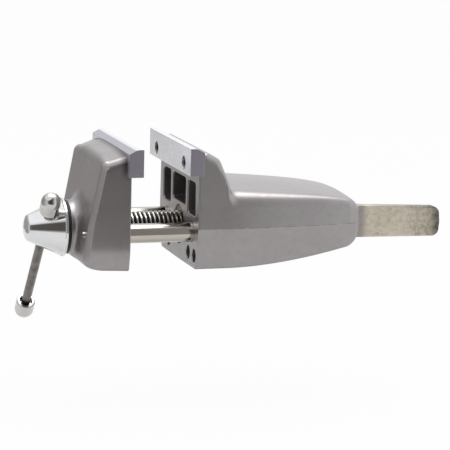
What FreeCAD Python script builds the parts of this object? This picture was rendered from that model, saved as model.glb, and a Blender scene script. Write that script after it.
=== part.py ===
import FreeCAD, Part
import math
import os
from FreeCAD import Placement, Rotation, Vector

# Vise head: a rear casting on a flat steel tang, and a front casting that slides on two
# guide rods and is driven by a lead screw with a tommy bar.
#
# Construction frame, mm: X runs along the screw towards the tang and is 0 on the rear
# casting's front face, Y is 0 in the middle plane, Z is 0 on the rear casting's underside.
# Each piece is moved at export, so that the origin of the part is the middle of the tang
# where it leaves the casting.

# overall
jaw_width = 102.0
rest_opening = 31.0
body_length = 114.5
tang_axis_z = 22.2
screw_z = 23.2
running_gap = 0.05
axial_gap = 0.1

# jaw plates and their screws
plate_thickness = 9.5
plate_proud = 7.0
plate_low = 62.9
plate_high = 80.9
plate_back_high = 78.2
plate_screw_y = 33.9
plate_screw_z = 69.6
plate_recess_r = 4.5
plate_recess_depth = 6.0
screw_head_r = 4.25
screw_head_sunk = 1.0
screw_head_height = 5.0
screw_shank_r = 2.5
screw_shank_length = 12.0
screw_hole_spare = 1.5
screw_clearance = 0.25
hex_across = 4.0
hex_depth = 3.0
small_hex_across = 3.0
plate_top_flat = 4.4
plate_top_round = 5.0
plate_back_round = 0.8
plate_edge_round = 0.4

# rear casting
side_half_width = 48.0
foot_half_width = 42.0
parting_z = 27.5
upper_draft = 0.022
upright_depth = 22.0
upright_top = 77.7
upright_top_flat_x = 5.5
upright_top_round = 4.0
upright_shoulder = (14.6, 72.7)
upright_shoulder_round = 6.0
upright_back_foot_z = 53.6
upright_edge_round = 2.0
shoulder_start_z = 52.2
shoulder_fall = (7.0, 3.0)
tail_narrowing = 8.9
tail_lift_side = 13.0
tail_lift_middle = 4.5
tail_power = 1.75
top_crown = 2.0
top_crown_round = 200.0
shoulder_round = (8.0, 4.0)
foot_round = 2.0
keel_round = 60.0
keel_drop = 0.3
tail_round = 8.0

# pockets in the jaw faces: width limits in Y, height limits in Z
side_pocket = (21.0, 39.0, 34.5, 56.5)
middle_pocket = (-15.7, 15.7, 38.5, 56.5)
pocket_round = 3.0
rear_pocket_depth = 70.0
rear_pocket_high_depth = 13.0
rear_pocket_bend = (23.0, 45.5)
rear_pocket_low_top = 43.5
rear_pocket_end_round = 2.2
front_pocket_depth = 13.0
front_pocket_floor_round = 2.0

# cored holes low in the rear casting's face
low_hole_r = 4.45
low_hole_y = (24.05, 37.9)
low_hole_z = 8.7
low_hole_depth = 18.0

# guide rods
rod_r = 6.35
rod_y = 31.35
rod_front_x = -66.0
rod_rear_x = 50.0
rod_chamfer = 1.0
rod_guide_length = 24.0
rod_bore_depth = 84.0
rod_bore_relief = 0.45
grub_r = 2.0
grub_proud_x = -73.2
grub_slot_width = 0.7
grub_slot_depth = 1.0

# lead screw, nut and bush
thread_r = 9.0
thread_root_r = 7.4
thread_pitch = 3.0
groove_mouth = 2.6
groove_floor = 1.1
groove_spare = 0.4
thread_front_x = -51.9
thread_rear_x = 52.0
thread_runout = 1.0
journal_r = 7.0
journal_front_x = -98.0
bush_r = 9.0
bush_rear_x = -52.0
nut_r = 13.0
nut_front_x = 1.0
nut_rear_x = 27.0
nut_screw_r = 3.0
nut_screw_x = 14.0
nut_screw_low = 0.6
nut_screw_high = 12.0
screw_tunnel_depth = 90.0
stop_washer_r = 12.0
stop_washer_thickness = 2.5
stop_screw_head_r = 5.2
stop_screw_head_height = 3.3
stop_screw_shank_r = 3.0
stop_screw_shank_length = 14.0
stop_screw_hex_depth = 2.0

# front casting
front_back_x = -44.6
front_back_half_width = 45.9
front_nose_half_width = 38.9
front_nose_x = -78.0
front_foot_z = 0.3
front_foot_inset = 3.0
front_foot_round = 2.5
front_foot_side_z = 13.0
front_foot_side_round = 20.0
front_back_top = 79.2
front_top_slope = 0.33
front_top_crown = 2.2
front_top_trim = 0.05
front_top_bend_share = 0.45
front_top_round = 30.0
front_side_round = 5.0
front_line = ((-62.3, 73.3), (-71.1, 29.0), (-73.6, 4.2))
front_line_rounds = (8.0, 60.0, 5.0)
front_line_overrun = 0.3
front_chin_x = -66.5
front_chin_round = 14.0
front_bevel = 3.0
bevel_reach = 10.0
boss_r = 17.9
boss_x = -76.8
boss_flare = 9.0
boss_flare_start = 1.6
boss_root_x = -62.0
boss_rim = 0.6
screw_pass_r = 10.2

# hub, washer and tommy bar
washer_r = 17.7
washer_bore_r = 7.3
washer_thickness = 2.3
hub_rim_r = 19.5
hub_rim_thickness = 1.6
hub_rim_step = 0.4
hub_cone_r = 18.9
hub_cone_end_r = 8.6
hub_cone_end_x = -103.0
hub_nose = ((-103.9, 7.6), (-105.0, 4.4))
hub_end_x = -105.5
hub_screw_x = -85.0
hub_screw_low = 5.5
hub_screw_high = 15.5
bar_x = -91.2
bar_tilt = 42.7
bar_r = 3.0
bar_upper_end = -27.3
bar_lower_end = 92.8
cap_r = 6.5
cap_length = 15.7
cap_chamfer = 0.7
cap_recess_r = 4.3
cap_recess_depth = 3.5
upper_cap_inner = 17.4
lower_cap_inner = 82.8

# tang
tang_thickness = 8.0
tang_inner_x = 92.0
tang_end_x = 185.3
tang_root_low = 11.0
tang_root_high = 33.4
tang_end_low = 10.3
tang_end_high = 30.7
tang_end_bulge = 0.8
tang_end_round = 20.0
tang_corner_round = 5.0
tang_inner_round = 1.0
tang_edge_round = 0.8
tenon_shoulder = 0.3
tenon_end_gap = 0.2
tang_pin_r = 2.5
tang_pin_x = (98.0, 107.0)
tang_pin_low = 5.0
tang_pin_high = 27.0

x_axis = Vector(1, 0, 0)
y_axis = Vector(0, 1, 0)
z_axis = Vector(0, 0, 1)
screw_axis_point = Vector(0, 0, screw_z)


def rounded_wire(points, radii):
    """Closed polygon whose corner i is rounded with radii[i]; 0 keeps it sharp."""
    starts, ends, arcs = [], [], []
    count = len(points)
    for i, corner in enumerate(points):
        back = (points[i - 1] - corner).normalize()
        ahead = (points[(i + 1) % count] - corner).normalize()
        if radii[i] == 0:
            starts.append(corner)
            ends.append(corner)
            arcs.append(None)
            continue
        half = back.getAngle(ahead) / 2
        run = radii[i] / math.tan(half)
        middle = corner + (back + ahead).normalize() * (radii[i] / math.sin(half) - radii[i])
        starts.append(corner + back * run)
        ends.append(corner + ahead * run)
        arcs.append(Part.Arc(starts[-1], middle, ends[-1]))
    edges = []
    for i in range(count):
        if arcs[i]:
            edges.append(arcs[i].toShape())
        following = starts[(i + 1) % count]
        if (following - ends[i]).Length > 1e-6:
            edges.append(Part.LineSegment(ends[i], following).toShape())
    return Part.Wire(Part.__sortEdges__(edges))


def prism(points, radii, along):
    return Part.Face(rounded_wire(points, radii)).extrude(along)


def prism_across(outline, y_low, y_high):
    """Extrude an outline of (x, z, corner radius) from y_low to y_high."""
    points = [Vector(x, y_low, z) for x, z, r in outline]
    return prism(points, [r for x, z, r in outline], y_axis * (y_high - y_low))


def prism_along(outline, x_low, x_high):
    """Extrude an outline of (y, z, corner radius) from x_low to x_high."""
    points = [Vector(x_low, y, z) for y, z, r in outline]
    return prism(points, [r for y, z, r in outline], x_axis * (x_high - x_low))


def cylinder_x(radius, x_low, x_high, y=0.0, z=screw_z):
    return Part.makeCylinder(radius, x_high - x_low, Vector(x_low, y, z), x_axis)


def cylinder_z(radius, x, z_low, z_high):
    return Part.makeCylinder(radius, z_high - z_low, Vector(x, 0, z_low), z_axis)


def ring_x(outer, inner, x_low, x_high):
    return cylinder_x(outer, x_low, x_high).cut(cylinder_x(inner, x_low - 1, x_high + 1))


def turned(outline, start, direction):
    """Revolve an outline of (distance along, radius) about the line from start."""
    points = [Vector(r, 0, s) for s, r in outline]
    face = Part.Face(Part.makePolygon(points + [points[0]]))
    solid = face.revolve(Vector(0, 0, 0), z_axis, 360)
    solid.Placement = Placement(start, Rotation(z_axis, direction))
    return solid


def hex_socket(across, depth, start, direction):
    corner_r = across / math.sqrt(3)
    points = []
    for i in range(6):
        angle = math.radians(60 * i)
        points.append(Vector(corner_r * math.cos(angle), corner_r * math.sin(angle), 0))
    solid = prism(points, [0] * 6, z_axis * depth)
    solid.Placement = Placement(start, Rotation(z_axis, direction))
    return solid


def both_sides(shape):
    """The shape and its mirror image in the middle plane, as separate solids."""
    return Part.makeCompound([shape, shape.mirror(Vector(0, 0, 0), y_axis)])


def edges_where(shape, test):
    return [e for e in shape.Edges if all(test(v.Point) for v in e.Vertexes)]


# positions of the moving jaw that follow from the driving dimensions

rear_plate_face_x = -plate_proud
front_plate_face_x = rear_plate_face_x - rest_opening
front_plate_back_x = front_plate_face_x - plate_thickness
washer_front_x = boss_x - washer_thickness
hub_rear_x = washer_front_x - axial_gap
rear_plate_back_x = rear_plate_face_x + plate_thickness


# jaw plates, the same piece twice, facing each other

def jaw_plate(face_x, inward):
    """inward is +1 where the plate's back lies towards the tang, -1 towards the handle."""
    back_x = face_x + inward * plate_thickness
    outline = [
        (face_x, plate_low, plate_edge_round),
        (back_x, plate_low, plate_edge_round),
        (back_x, plate_back_high, plate_back_round),
        (face_x + inward * plate_top_flat, plate_high, plate_top_round),
        (face_x, plate_high, plate_edge_round),
    ]
    plate = prism_across(outline, -jaw_width / 2, jaw_width / 2)
    direction = x_axis * inward
    holes = []
    for y in (-plate_screw_y, plate_screw_y):
        start = Vector(face_x, y, plate_screw_z)
        holes.append(Part.makeCylinder(plate_recess_r, plate_recess_depth, start, direction))
        through_r = screw_shank_r + screw_clearance
        holes.append(Part.makeCylinder(through_r, plate_thickness, start, direction))
    return plate.cut(holes)


def jaw_plate_screws(face_x, inward):
    direction = x_axis * inward
    screws = []
    for y in (-plate_screw_y, plate_screw_y):
        head_start = Vector(face_x + inward * screw_head_sunk, y, plate_screw_z)
        shank_start = head_start + direction * screw_head_height
        head = Part.makeCylinder(screw_head_r, screw_head_height, head_start, direction)
        shank = Part.makeCylinder(screw_shank_r, screw_shank_length, shank_start, direction)
        socket = hex_socket(hex_across, hex_depth, head_start, direction)
        screws.append(head.fuse(shank).removeSplitter().cut(socket))
    return Part.makeCompound(screws)


def jaw_screw_holes(back_x, inward):
    depth = (screw_head_sunk + screw_head_height + screw_shank_length
             - plate_thickness + screw_hole_spare)
    holes = []
    for y in (-plate_screw_y, plate_screw_y):
        start = Vector(back_x, y, plate_screw_z)
        holes.append(Part.makeCylinder(screw_shank_r, depth, start, x_axis * inward))
    return holes


# rear casting

def tail_share(x):
    """0 at the back of the upright, 1 at the tail end."""
    return max(0.0, (x - upright_depth) / (body_length - upright_depth))


def body_section(x, inset=0.0):
    """Hull-shaped cross-section at x, drawn in from its full size by inset."""
    share = tail_share(x)
    bend = share ** tail_power
    half = side_half_width - tail_narrowing * bend - inset
    top = shoulder_start_z - shoulder_fall[0] * share - shoulder_fall[1] * share ** 6 - inset
    foot_side = tail_lift_side * bend + inset
    foot_middle = tail_lift_middle * bend + inset - keel_drop
    lower_draft = (side_half_width - foot_half_width) / parting_z
    foot_half = half - lower_draft * (parting_z - foot_side)
    shoulder_half = half - upper_draft * (top - parting_z)
    shoulder_r = shoulder_round[0] + (shoulder_round[1] - shoulder_round[0]) * share
    outline = [
        (0, foot_middle, keel_round),
        (foot_half, foot_side, foot_round),
        (half, parting_z, 0),
        (shoulder_half, top, shoulder_r),
        (0, top + top_crown, top_crown_round),
        (-shoulder_half, top, shoulder_r),
        (-half, parting_z, 0),
        (-foot_half, foot_side, foot_round),
    ]
    points = [Vector(x, y, z) for y, z, r in outline]
    return rounded_wire(points, [r for y, z, r in outline])


def rear_body():
    long_end = body_length - tail_round
    stations = [upright_depth + (long_end - upright_depth) * i / 3 for i in range(4)]
    hull = Part.makeLoft([body_section(x) for x in stations], True, False)
    rounding = []
    for i in range(5):
        turn = math.pi / 2 * i / 4
        x = long_end + tail_round * math.sin(turn)
        rounding.append(body_section(x, tail_round * (1 - math.cos(turn))))
    return hull.fuse(Part.makeLoft(rounding, True, False))


def upright():
    """Front block of the rear casting, which carries the fixed jaw plate."""
    side = [
        (0, -1, 0),
        (upright_depth, -1, 0),
        (upright_depth, upright_back_foot_z, 0),
        (*upright_shoulder, upright_shoulder_round),
        (upright_top_flat_x, upright_top, upright_top_round),
        (rear_plate_back_x, upright_top, 0),
        (rear_plate_back_x, plate_low, 0),
        (0, plate_low, 0),
    ]
    roof = plate_high
    roof_half = side_half_width - upper_draft * (roof - parting_z)
    front = [
        (-foot_half_width, 0, foot_round),
        (0, -keel_drop, keel_round),
        (foot_half_width, 0, foot_round),
        (side_half_width, parting_z, 0),
        (roof_half, roof, 0),
        (-roof_half, roof, 0),
        (-side_half_width, parting_z, 0),
    ]
    block = prism_across(side, -jaw_width, jaw_width)
    block = block.common(prism_along(front, 0, upright_depth))
    def on_rounded_side(point):
        above = point.z > upright_back_foot_z - 0.1
        behind = point.x > rear_plate_back_x - 0.1
        return abs(point.y) > foot_half_width and above and behind

    side_edges = edges_where(block, on_rounded_side)
    side_edges = [e for e in side_edges if abs(e.CenterOfMass.y) > foot_half_width]
    side_edges = [e for e in side_edges if e.CenterOfMass.x > rear_plate_back_x + 0.1]
    return block.makeFillet(upright_edge_round, side_edges)


def pocket(mouth, side_outline):
    """A pocket with the given mouth, as deep as its outline of (x, z, radius)."""
    y_low, y_high, z_low, z_high = mouth
    corners = [(y_low, z_low), (y_high, z_low), (y_high, z_high), (y_low, z_high)]
    rounded = [(y, z, pocket_round) for y, z in corners]
    x_low = min(x for x, z, r in side_outline)
    x_high = max(x for x, z, r in side_outline)
    bar = prism_along(rounded, x_low, x_high)
    return bar.common(prism_across(side_outline, y_low - 1, y_high + 1))


def three_pockets(side_outline_of):
    side = pocket(side_pocket, side_outline_of(side_pocket))
    middle = pocket(middle_pocket, side_outline_of(middle_pocket))
    return [side, side.mirror(Vector(0, 0, 0), y_axis), middle]


def rear_pocket_outline(mouth):
    y_low, y_high, z_low, z_high = mouth
    return [
        (-1, z_low, 0),
        (rear_pocket_depth, z_low, rear_pocket_end_round),
        (rear_pocket_depth, rear_pocket_low_top, rear_pocket_end_round),
        (*rear_pocket_bend, pocket_round),
        (rear_pocket_high_depth, z_high, pocket_round),
        (-1, z_high, 0),
    ]


def front_pocket_outline(mouth):
    y_low, y_high, z_low, z_high = mouth
    floor_x = front_back_x - front_pocket_depth
    return [
        (front_back_x + 1, z_low, 0),
        (front_back_x + 1, z_high, 0),
        (floor_x, z_high, front_pocket_floor_round),
        (floor_x, z_low, front_pocket_floor_round),
    ]


def rear_casting(tang):
    body = upright().fuse(rear_body())
    cuts = three_pockets(rear_pocket_outline)
    cuts += jaw_screw_holes(rear_plate_back_x, 1)
    guide_r = rod_r + running_gap
    relief_r = rod_r + rod_bore_relief
    for y in (-rod_y, rod_y):
        cuts.append(cylinder_x(guide_r, -1, rod_guide_length, y))
        cuts.append(cylinder_x(relief_r, rod_guide_length, rod_bore_depth, y))
        for low_y in low_hole_y:
            hole_y = math.copysign(low_y, y)
            cuts.append(cylinder_x(low_hole_r, -1, low_hole_depth, hole_y, low_hole_z))
    cuts.append(cylinder_x(nut_r, -1, screw_tunnel_depth))
    cuts.append(cylinder_z(nut_screw_r, nut_screw_x, -1, nut_screw_high))
    cuts.append(tang)
    for x in tang_pin_x:
        cuts.append(cylinder_z(tang_pin_r, x, -1, tang_pin_high))
    return body.cut(cuts)


# lead screw group

def lead_nut(nut_screw):
    blank = ring_x(nut_r, thread_r + running_gap, nut_front_x, nut_rear_x)
    return blank.cut(nut_screw)


def nut_lock_screw():
    screw = cylinder_z(nut_screw_r, nut_screw_x, nut_screw_low, nut_screw_high)
    start = Vector(nut_screw_x, 0, nut_screw_low)
    return screw.cut(hex_socket(small_hex_across, hex_depth, start, z_axis))


def thread_groove():
    """Right-hand helical groove swept along the lead screw's thread."""
    length = thread_rear_x - thread_front_x - 2 * thread_runout
    helix = Part.makeHelix(thread_pitch, length, thread_r)
    outside = thread_r + groove_spare
    mouth = groove_mouth / 2
    floor = groove_floor / 2
    outline = [
        (outside, -mouth),
        (thread_root_r, -floor),
        (thread_root_r, floor),
        (outside, mouth),
    ]
    points = [Vector(r, 0, z) for r, z in outline]
    section = Part.makePolygon(points + [points[0]])
    groove = Part.Wire(helix.Edges).makePipeShell([section], True, True)
    start = screw_axis_point + x_axis * (thread_front_x + thread_runout)
    groove.Placement = Placement(start, Rotation(y_axis, 90))
    return groove


def bar_hole():
    through = hub_rim_r * 2
    start = bar_point(-through)
    return Part.makeCylinder(bar_r + running_gap, 2 * through, start, bar_direction())


def lead_screw(hub_screw):
    blank = cylinder_x(journal_r, journal_front_x, thread_front_x)
    blank = blank.fuse(cylinder_x(thread_r, thread_front_x, thread_rear_x))
    blank = blank.cut(thread_groove())
    hole_front_x = thread_rear_x - stop_screw_shank_length
    end_hole = cylinder_x(stop_screw_shank_r, hole_front_x, thread_rear_x + 1)
    return blank.cut([end_hole, bar_hole(), hub_screw])


def screw_bush():
    return ring_x(bush_r, journal_r + running_gap, boss_x, bush_rear_x)


def stop_washer():
    washer_end = thread_rear_x + stop_washer_thickness
    bore_r = stop_screw_shank_r + screw_clearance
    return ring_x(stop_washer_r, bore_r, thread_rear_x, washer_end)


def stop_screw():
    head_x = thread_rear_x + stop_washer_thickness
    head = cylinder_x(stop_screw_head_r, head_x, head_x + stop_screw_head_height)
    shank = cylinder_x(stop_screw_shank_r, thread_rear_x - stop_screw_shank_length, head_x)
    socket_start = screw_axis_point + x_axis * (head_x + stop_screw_head_height)
    socket = hex_socket(hex_across, stop_screw_hex_depth, socket_start, -x_axis)
    return head.fuse(shank).cut(socket)


# front casting

def front_half_width(x):
    share = (front_back_x - x) / (front_back_x - front_nose_x)
    return front_back_half_width + (front_nose_half_width - front_back_half_width) * share


def front_top(x):
    return front_back_top - front_top_slope * (front_back_x - x)


def front_section(x):
    half = front_half_width(x)
    top = front_top(x)
    shoulder = top - front_top_crown
    foot_half = half - front_foot_inset
    bend = half * front_top_bend_share
    right_half = [
        (foot_half, front_foot_z, front_foot_round),
        (half, front_foot_side_z, front_foot_side_round),
        (half, shoulder, front_side_round),
        (bend, top, front_top_round),
    ]
    outline = right_half + [(-y, z, r) for y, z, r in reversed(right_half)]
    points = [Vector(x, y, z) for y, z, r in outline]
    return rounded_wire(points, [r for y, z, r in outline])


def boss():
    """Round boss for the bush, flared in a hollow arc into the front face."""
    flare_x = boss_x + boss_flare_start
    wall_z = screw_z + boss_r
    flare_end = Vector(flare_x + boss_flare, 0, wall_z + boss_flare)
    middle = Vector(flare_x + boss_flare * math.sin(math.pi / 4), 0,
                    wall_z + boss_flare * (1 - math.cos(math.pi / 4)))
    before = [
        Vector(boss_root_x, 0, screw_z),
        Vector(boss_x, 0, screw_z),
        Vector(boss_x, 0, wall_z - boss_rim),
        Vector(boss_x + boss_rim, 0, wall_z),
        Vector(flare_x, 0, wall_z),
    ]
    after = [flare_end, Vector(boss_root_x, 0, flare_end.z), before[0]]
    edges = Part.makePolygon(before).Edges
    edges.append(Part.Arc(before[-1], middle, flare_end).toShape())
    edges += Part.makePolygon(after).Edges
    return Part.Face(Part.Wire(edges)).revolve(before[0], x_axis, 360)


def corner_bevel(side):
    """Wedge that bevels the edge between the front face and one side."""
    wires = []
    for x, z in front_line_ends():
        edge_y = front_half_width(x)
        back_x = x + front_bevel
        corners = [
            (back_x, front_half_width(back_x)),
            (x, edge_y - front_bevel),
            (x - bevel_reach, edge_y + bevel_reach),
        ]
        points = [Vector(cx, side * cy, z) for cx, cy in corners]
        wires.append(Part.makePolygon(points + [points[0]]))
    return Part.makeLoft(wires, True, True)


def front_line_ends():
    """The front face's line in side view, run on past both ends of the casting."""
    def run_on(end):
        return tuple(e + (e - b) * front_line_overrun for e, b in zip(end, bend))

    top, bend, foot = front_line
    return run_on(top), bend, run_on(foot)


def front_casting():
    # The profile trims the top's crest, so that the nose rounds off without a step.
    crest = front_top(front_plate_back_x) - front_top_trim
    side = [
        (front_back_x, front_foot_z, 0),
        (front_back_x, plate_low, 0),
        (front_plate_back_x, plate_low, 0),
        (front_plate_back_x, crest, 0),
    ]
    side += [(x, z, r) for (x, z), r in zip(front_line, front_line_rounds)]
    side.append((front_chin_x, front_foot_z, front_chin_round))
    sections = [front_section(front_nose_x), front_section(front_back_x)]
    flared = Part.makeLoft(sections, True, True)
    block = flared.common(prism_across(side, -jaw_width, jaw_width))
    block = block.cut([corner_bevel(1), corner_bevel(-1)])
    body = block.fuse(boss().common(flared))
    cuts = three_pockets(front_pocket_outline)
    cuts += jaw_screw_holes(front_plate_back_x, -1)
    for y in (-rod_y, rod_y):
        cuts.append(cylinder_x(rod_r, rod_front_x, front_back_x + 1, y))
        cuts.append(cylinder_x(grub_r, front_nose_x, rod_front_x, y))
    cuts.append(cylinder_x(bush_r, front_nose_x, bush_rear_x))
    cuts.append(cylinder_x(screw_pass_r, bush_rear_x, front_back_x + 1))
    return body.cut(cuts)


def guide_rod(side):
    rod = cylinder_x(rod_r, rod_front_x, rod_rear_x, side * rod_y)
    end_edges = edges_where(rod, lambda p: abs(p.x - rod_rear_x) < 0.01)
    return rod.makeChamfer(rod_chamfer, end_edges)


def rod_grub_screws():
    screw = cylinder_x(grub_r, grub_proud_x, rod_front_x, rod_y)
    slot = Part.makeBox(
        grub_slot_depth + 1, 2 * grub_r + 1, grub_slot_width,
        Vector(grub_proud_x - 1, rod_y - grub_r - 0.5, screw_z - grub_slot_width / 2))
    return both_sides(screw.cut(slot))


# hub and tommy bar

def bar_direction():
    """Unit vector along the tommy bar, from its upper cap to its lower cap."""
    tilt = math.radians(bar_tilt)
    return Vector(0, math.sin(tilt), -math.cos(tilt))


def bar_point(distance):
    return Vector(bar_x, 0, screw_z) + bar_direction() * distance


def hub_screw_direction():
    tilt = math.radians(bar_tilt)
    return Vector(0, math.cos(tilt), math.sin(tilt))


def hub_set_screw():
    start = Vector(hub_screw_x, 0, screw_z) + hub_screw_direction() * hub_screw_low
    length = hub_screw_high - hub_screw_low
    screw = Part.makeCylinder(nut_screw_r, length, start, hub_screw_direction())
    socket_start = start + hub_screw_direction() * length
    socket = hex_socket(small_hex_across, hex_depth, socket_start, hub_screw_direction() * -1)
    return screw.cut(socket)


def thrust_washer():
    return ring_x(washer_r, washer_bore_r, washer_front_x, boss_x)


def screw_hub():
    outline = [
        (hub_rear_x, 0),
        (hub_rear_x, hub_rim_r),
        (hub_rear_x - hub_rim_thickness, hub_rim_r),
        (hub_rear_x - hub_rim_thickness - hub_rim_step, hub_cone_r),
        (hub_cone_end_x, hub_cone_end_r),
        *hub_nose,
        (hub_end_x, 0),
    ]
    local = [(hub_rear_x - x, r) for x, r in outline]
    hub = turned(local, Vector(hub_rear_x, 0, screw_z), -x_axis)
    journal = cylinder_x(journal_r, journal_front_x, hub_rear_x + 1)
    start = Vector(hub_screw_x, 0, screw_z)
    screw_hole = Part.makeCylinder(nut_screw_r, hub_rim_r, start, hub_screw_direction())
    return hub.cut([journal, bar_hole(), screw_hole])


def tommy_bar():
    length = bar_lower_end - bar_upper_end
    return Part.makeCylinder(bar_r, length, bar_point(bar_upper_end), bar_direction())


def bar_cap(inner_distance, outward):
    """Bullet-shaped cap; outward is +1 along the bar's direction, -1 against it."""
    straight = cap_length - cap_r
    direction = bar_direction() * outward
    start = bar_point(inner_distance * outward)
    barrel = Part.makeCylinder(cap_r, straight, start, direction)
    rim = [e for e in barrel.Edges if (e.CenterOfMass - start).Length < 0.01]
    barrel = barrel.makeChamfer(cap_chamfer, rim)
    dome = Part.makeSphere(cap_r, start + direction * straight)
    cap = barrel.fuse(dome.common(Part.makeCylinder(
        cap_r + 1, cap_r + 1, start + direction * straight, direction)))
    recess = Part.makeCylinder(cap_recess_r, cap_recess_depth, start, direction)
    return cap.cut([recess, tommy_bar()])


# tang

def tang_blank():
    middle = (tang_end_low + tang_end_high) / 2
    outline = [
        (tang_inner_x, tang_root_low, tang_inner_round),
        (tang_end_x, tang_end_low, tang_corner_round),
        (tang_end_x + tang_end_bulge, middle, tang_end_round),
        (tang_end_x, tang_end_high, tang_corner_round),
        (tang_inner_x, tang_root_high, tang_inner_round),
    ]
    bar = prism_across(outline, -tang_thickness / 2, tang_thickness / 2)
    rims = [e for e in bar.Edges if abs(abs(e.CenterOfMass.y) - tang_thickness / 2) < 1e-6]
    bar = bar.makeFillet(tang_edge_round, rims)
    # the part inside the casting is a little thinner, so the clamping faces end at the casting
    tenon_end_x = body_length + tenon_end_gap
    side_low_y = tang_thickness / 2 - tenon_shoulder
    shoulder = Part.makeBox(tenon_end_x - tang_inner_x + 1, tenon_shoulder + 1, 2 * tang_root_high,
                            Vector(tang_inner_x - 1, side_low_y, 0))
    return bar.cut([shoulder, shoulder.mirror(Vector(0, 0, 0), y_axis)])


def tang_pins():
    pins = [cylinder_z(tang_pin_r, x, tang_pin_low, tang_pin_high) for x in tang_pin_x]
    return Part.makeCompound(pins)


def build_parts():
    tang = tang_blank()
    nut_screw = nut_lock_screw()
    pins = tang_pins()
    hub_screw = hub_set_screw()
    return {
        "rear_casting": rear_casting(tang),
        "rear_jaw_plate": jaw_plate(rear_plate_face_x, 1),
        "rear_jaw_plate_screws": jaw_plate_screws(rear_plate_face_x, 1),
        "lead_nut": lead_nut(nut_screw),
        "nut_lock_screw": nut_screw,
        "tang": tang.cut(pins),
        "tang_pins": pins,
        "front_casting": front_casting(),
        "front_jaw_plate": jaw_plate(front_plate_face_x, -1),
        "front_jaw_plate_screws": jaw_plate_screws(front_plate_face_x, -1),
        "left_guide_rod": guide_rod(1),
        "right_guide_rod": guide_rod(-1),
        "rod_grub_screws": rod_grub_screws(),
        "screw_bush": screw_bush(),
        "thrust_washer": thrust_washer(),
        "lead_screw": lead_screw(hub_screw),
        "screw_hub": screw_hub(),
        "hub_set_screw": hub_screw,
        "stop_washer": stop_washer(),
        "stop_screw": stop_screw(),
        "tommy_bar": tommy_bar(),
        "upper_bar_cap": bar_cap(upper_cap_inner, -1),
        "lower_bar_cap": bar_cap(lower_cap_inner, 1),
    }


os.makedirs("parts", exist_ok=True)
origin_shift = Vector(-body_length, 0, -tang_axis_z)
for node, shape in build_parts().items():
    shape.translate(origin_shift)
    shape.exportStep("parts/" + node + ".step")
    volume = round(shape.Volume)
    print(node, "solids", len(shape.Solids), "volume", volume, "valid", shape.isValid())
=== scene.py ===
import math
import bpy
import bmesh
import numpy as np
from mathutils import Matrix, Vector


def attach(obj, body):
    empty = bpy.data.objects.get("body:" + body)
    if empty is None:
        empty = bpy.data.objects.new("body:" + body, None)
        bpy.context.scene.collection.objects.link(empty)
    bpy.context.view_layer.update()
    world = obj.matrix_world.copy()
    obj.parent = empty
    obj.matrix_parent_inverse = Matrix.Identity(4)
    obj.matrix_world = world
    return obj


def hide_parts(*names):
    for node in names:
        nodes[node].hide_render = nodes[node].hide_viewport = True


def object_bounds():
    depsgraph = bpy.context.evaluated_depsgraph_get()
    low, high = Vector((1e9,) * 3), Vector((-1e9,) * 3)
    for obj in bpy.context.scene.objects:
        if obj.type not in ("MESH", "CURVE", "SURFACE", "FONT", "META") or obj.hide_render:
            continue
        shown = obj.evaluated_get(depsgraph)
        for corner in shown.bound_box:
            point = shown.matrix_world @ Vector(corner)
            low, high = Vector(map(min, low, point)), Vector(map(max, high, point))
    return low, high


# Vise head dressed over its CAD frame. Shapes are worked out in mm on the drawing's axes: X runs
# along the screw towards the tang and is 0 on the rear casting's face, Z is 0 on its underside.

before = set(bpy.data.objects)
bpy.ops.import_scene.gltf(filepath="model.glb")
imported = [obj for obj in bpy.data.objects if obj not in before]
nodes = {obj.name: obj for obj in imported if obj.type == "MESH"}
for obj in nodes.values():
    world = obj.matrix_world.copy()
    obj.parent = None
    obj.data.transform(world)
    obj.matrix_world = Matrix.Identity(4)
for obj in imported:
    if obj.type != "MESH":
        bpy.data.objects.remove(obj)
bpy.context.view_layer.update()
print("frame loaded:", len(nodes), "nodes")

drawing = {"tangRootX": 114.5, "tangAxisZ": 22.2, "screwZ": 23.2, "metresPerMm": 0.001}


def toRow(points):
    # mm on the drawing's axes to metres in the row frame: the tang's root is the origin
    shift = np.array((drawing["tangRootX"], 0, drawing["tangAxisZ"]))
    return (np.asarray(points, float) - shift) * drawing["metresPerMm"]


def ease(value, low, high):
    # 0 below low, 1 above high, and a smooth S between them
    share = np.clip((np.asarray(value, float) - low) / (high - low), 0, 1)
    return share * share * (3 - 2 * share)


def softRamp(value, width):
    # 0 for negative values and the value itself for positive ones, with a bend of that width
    return (value + np.sqrt(value * value + width * width)) / 2


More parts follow.
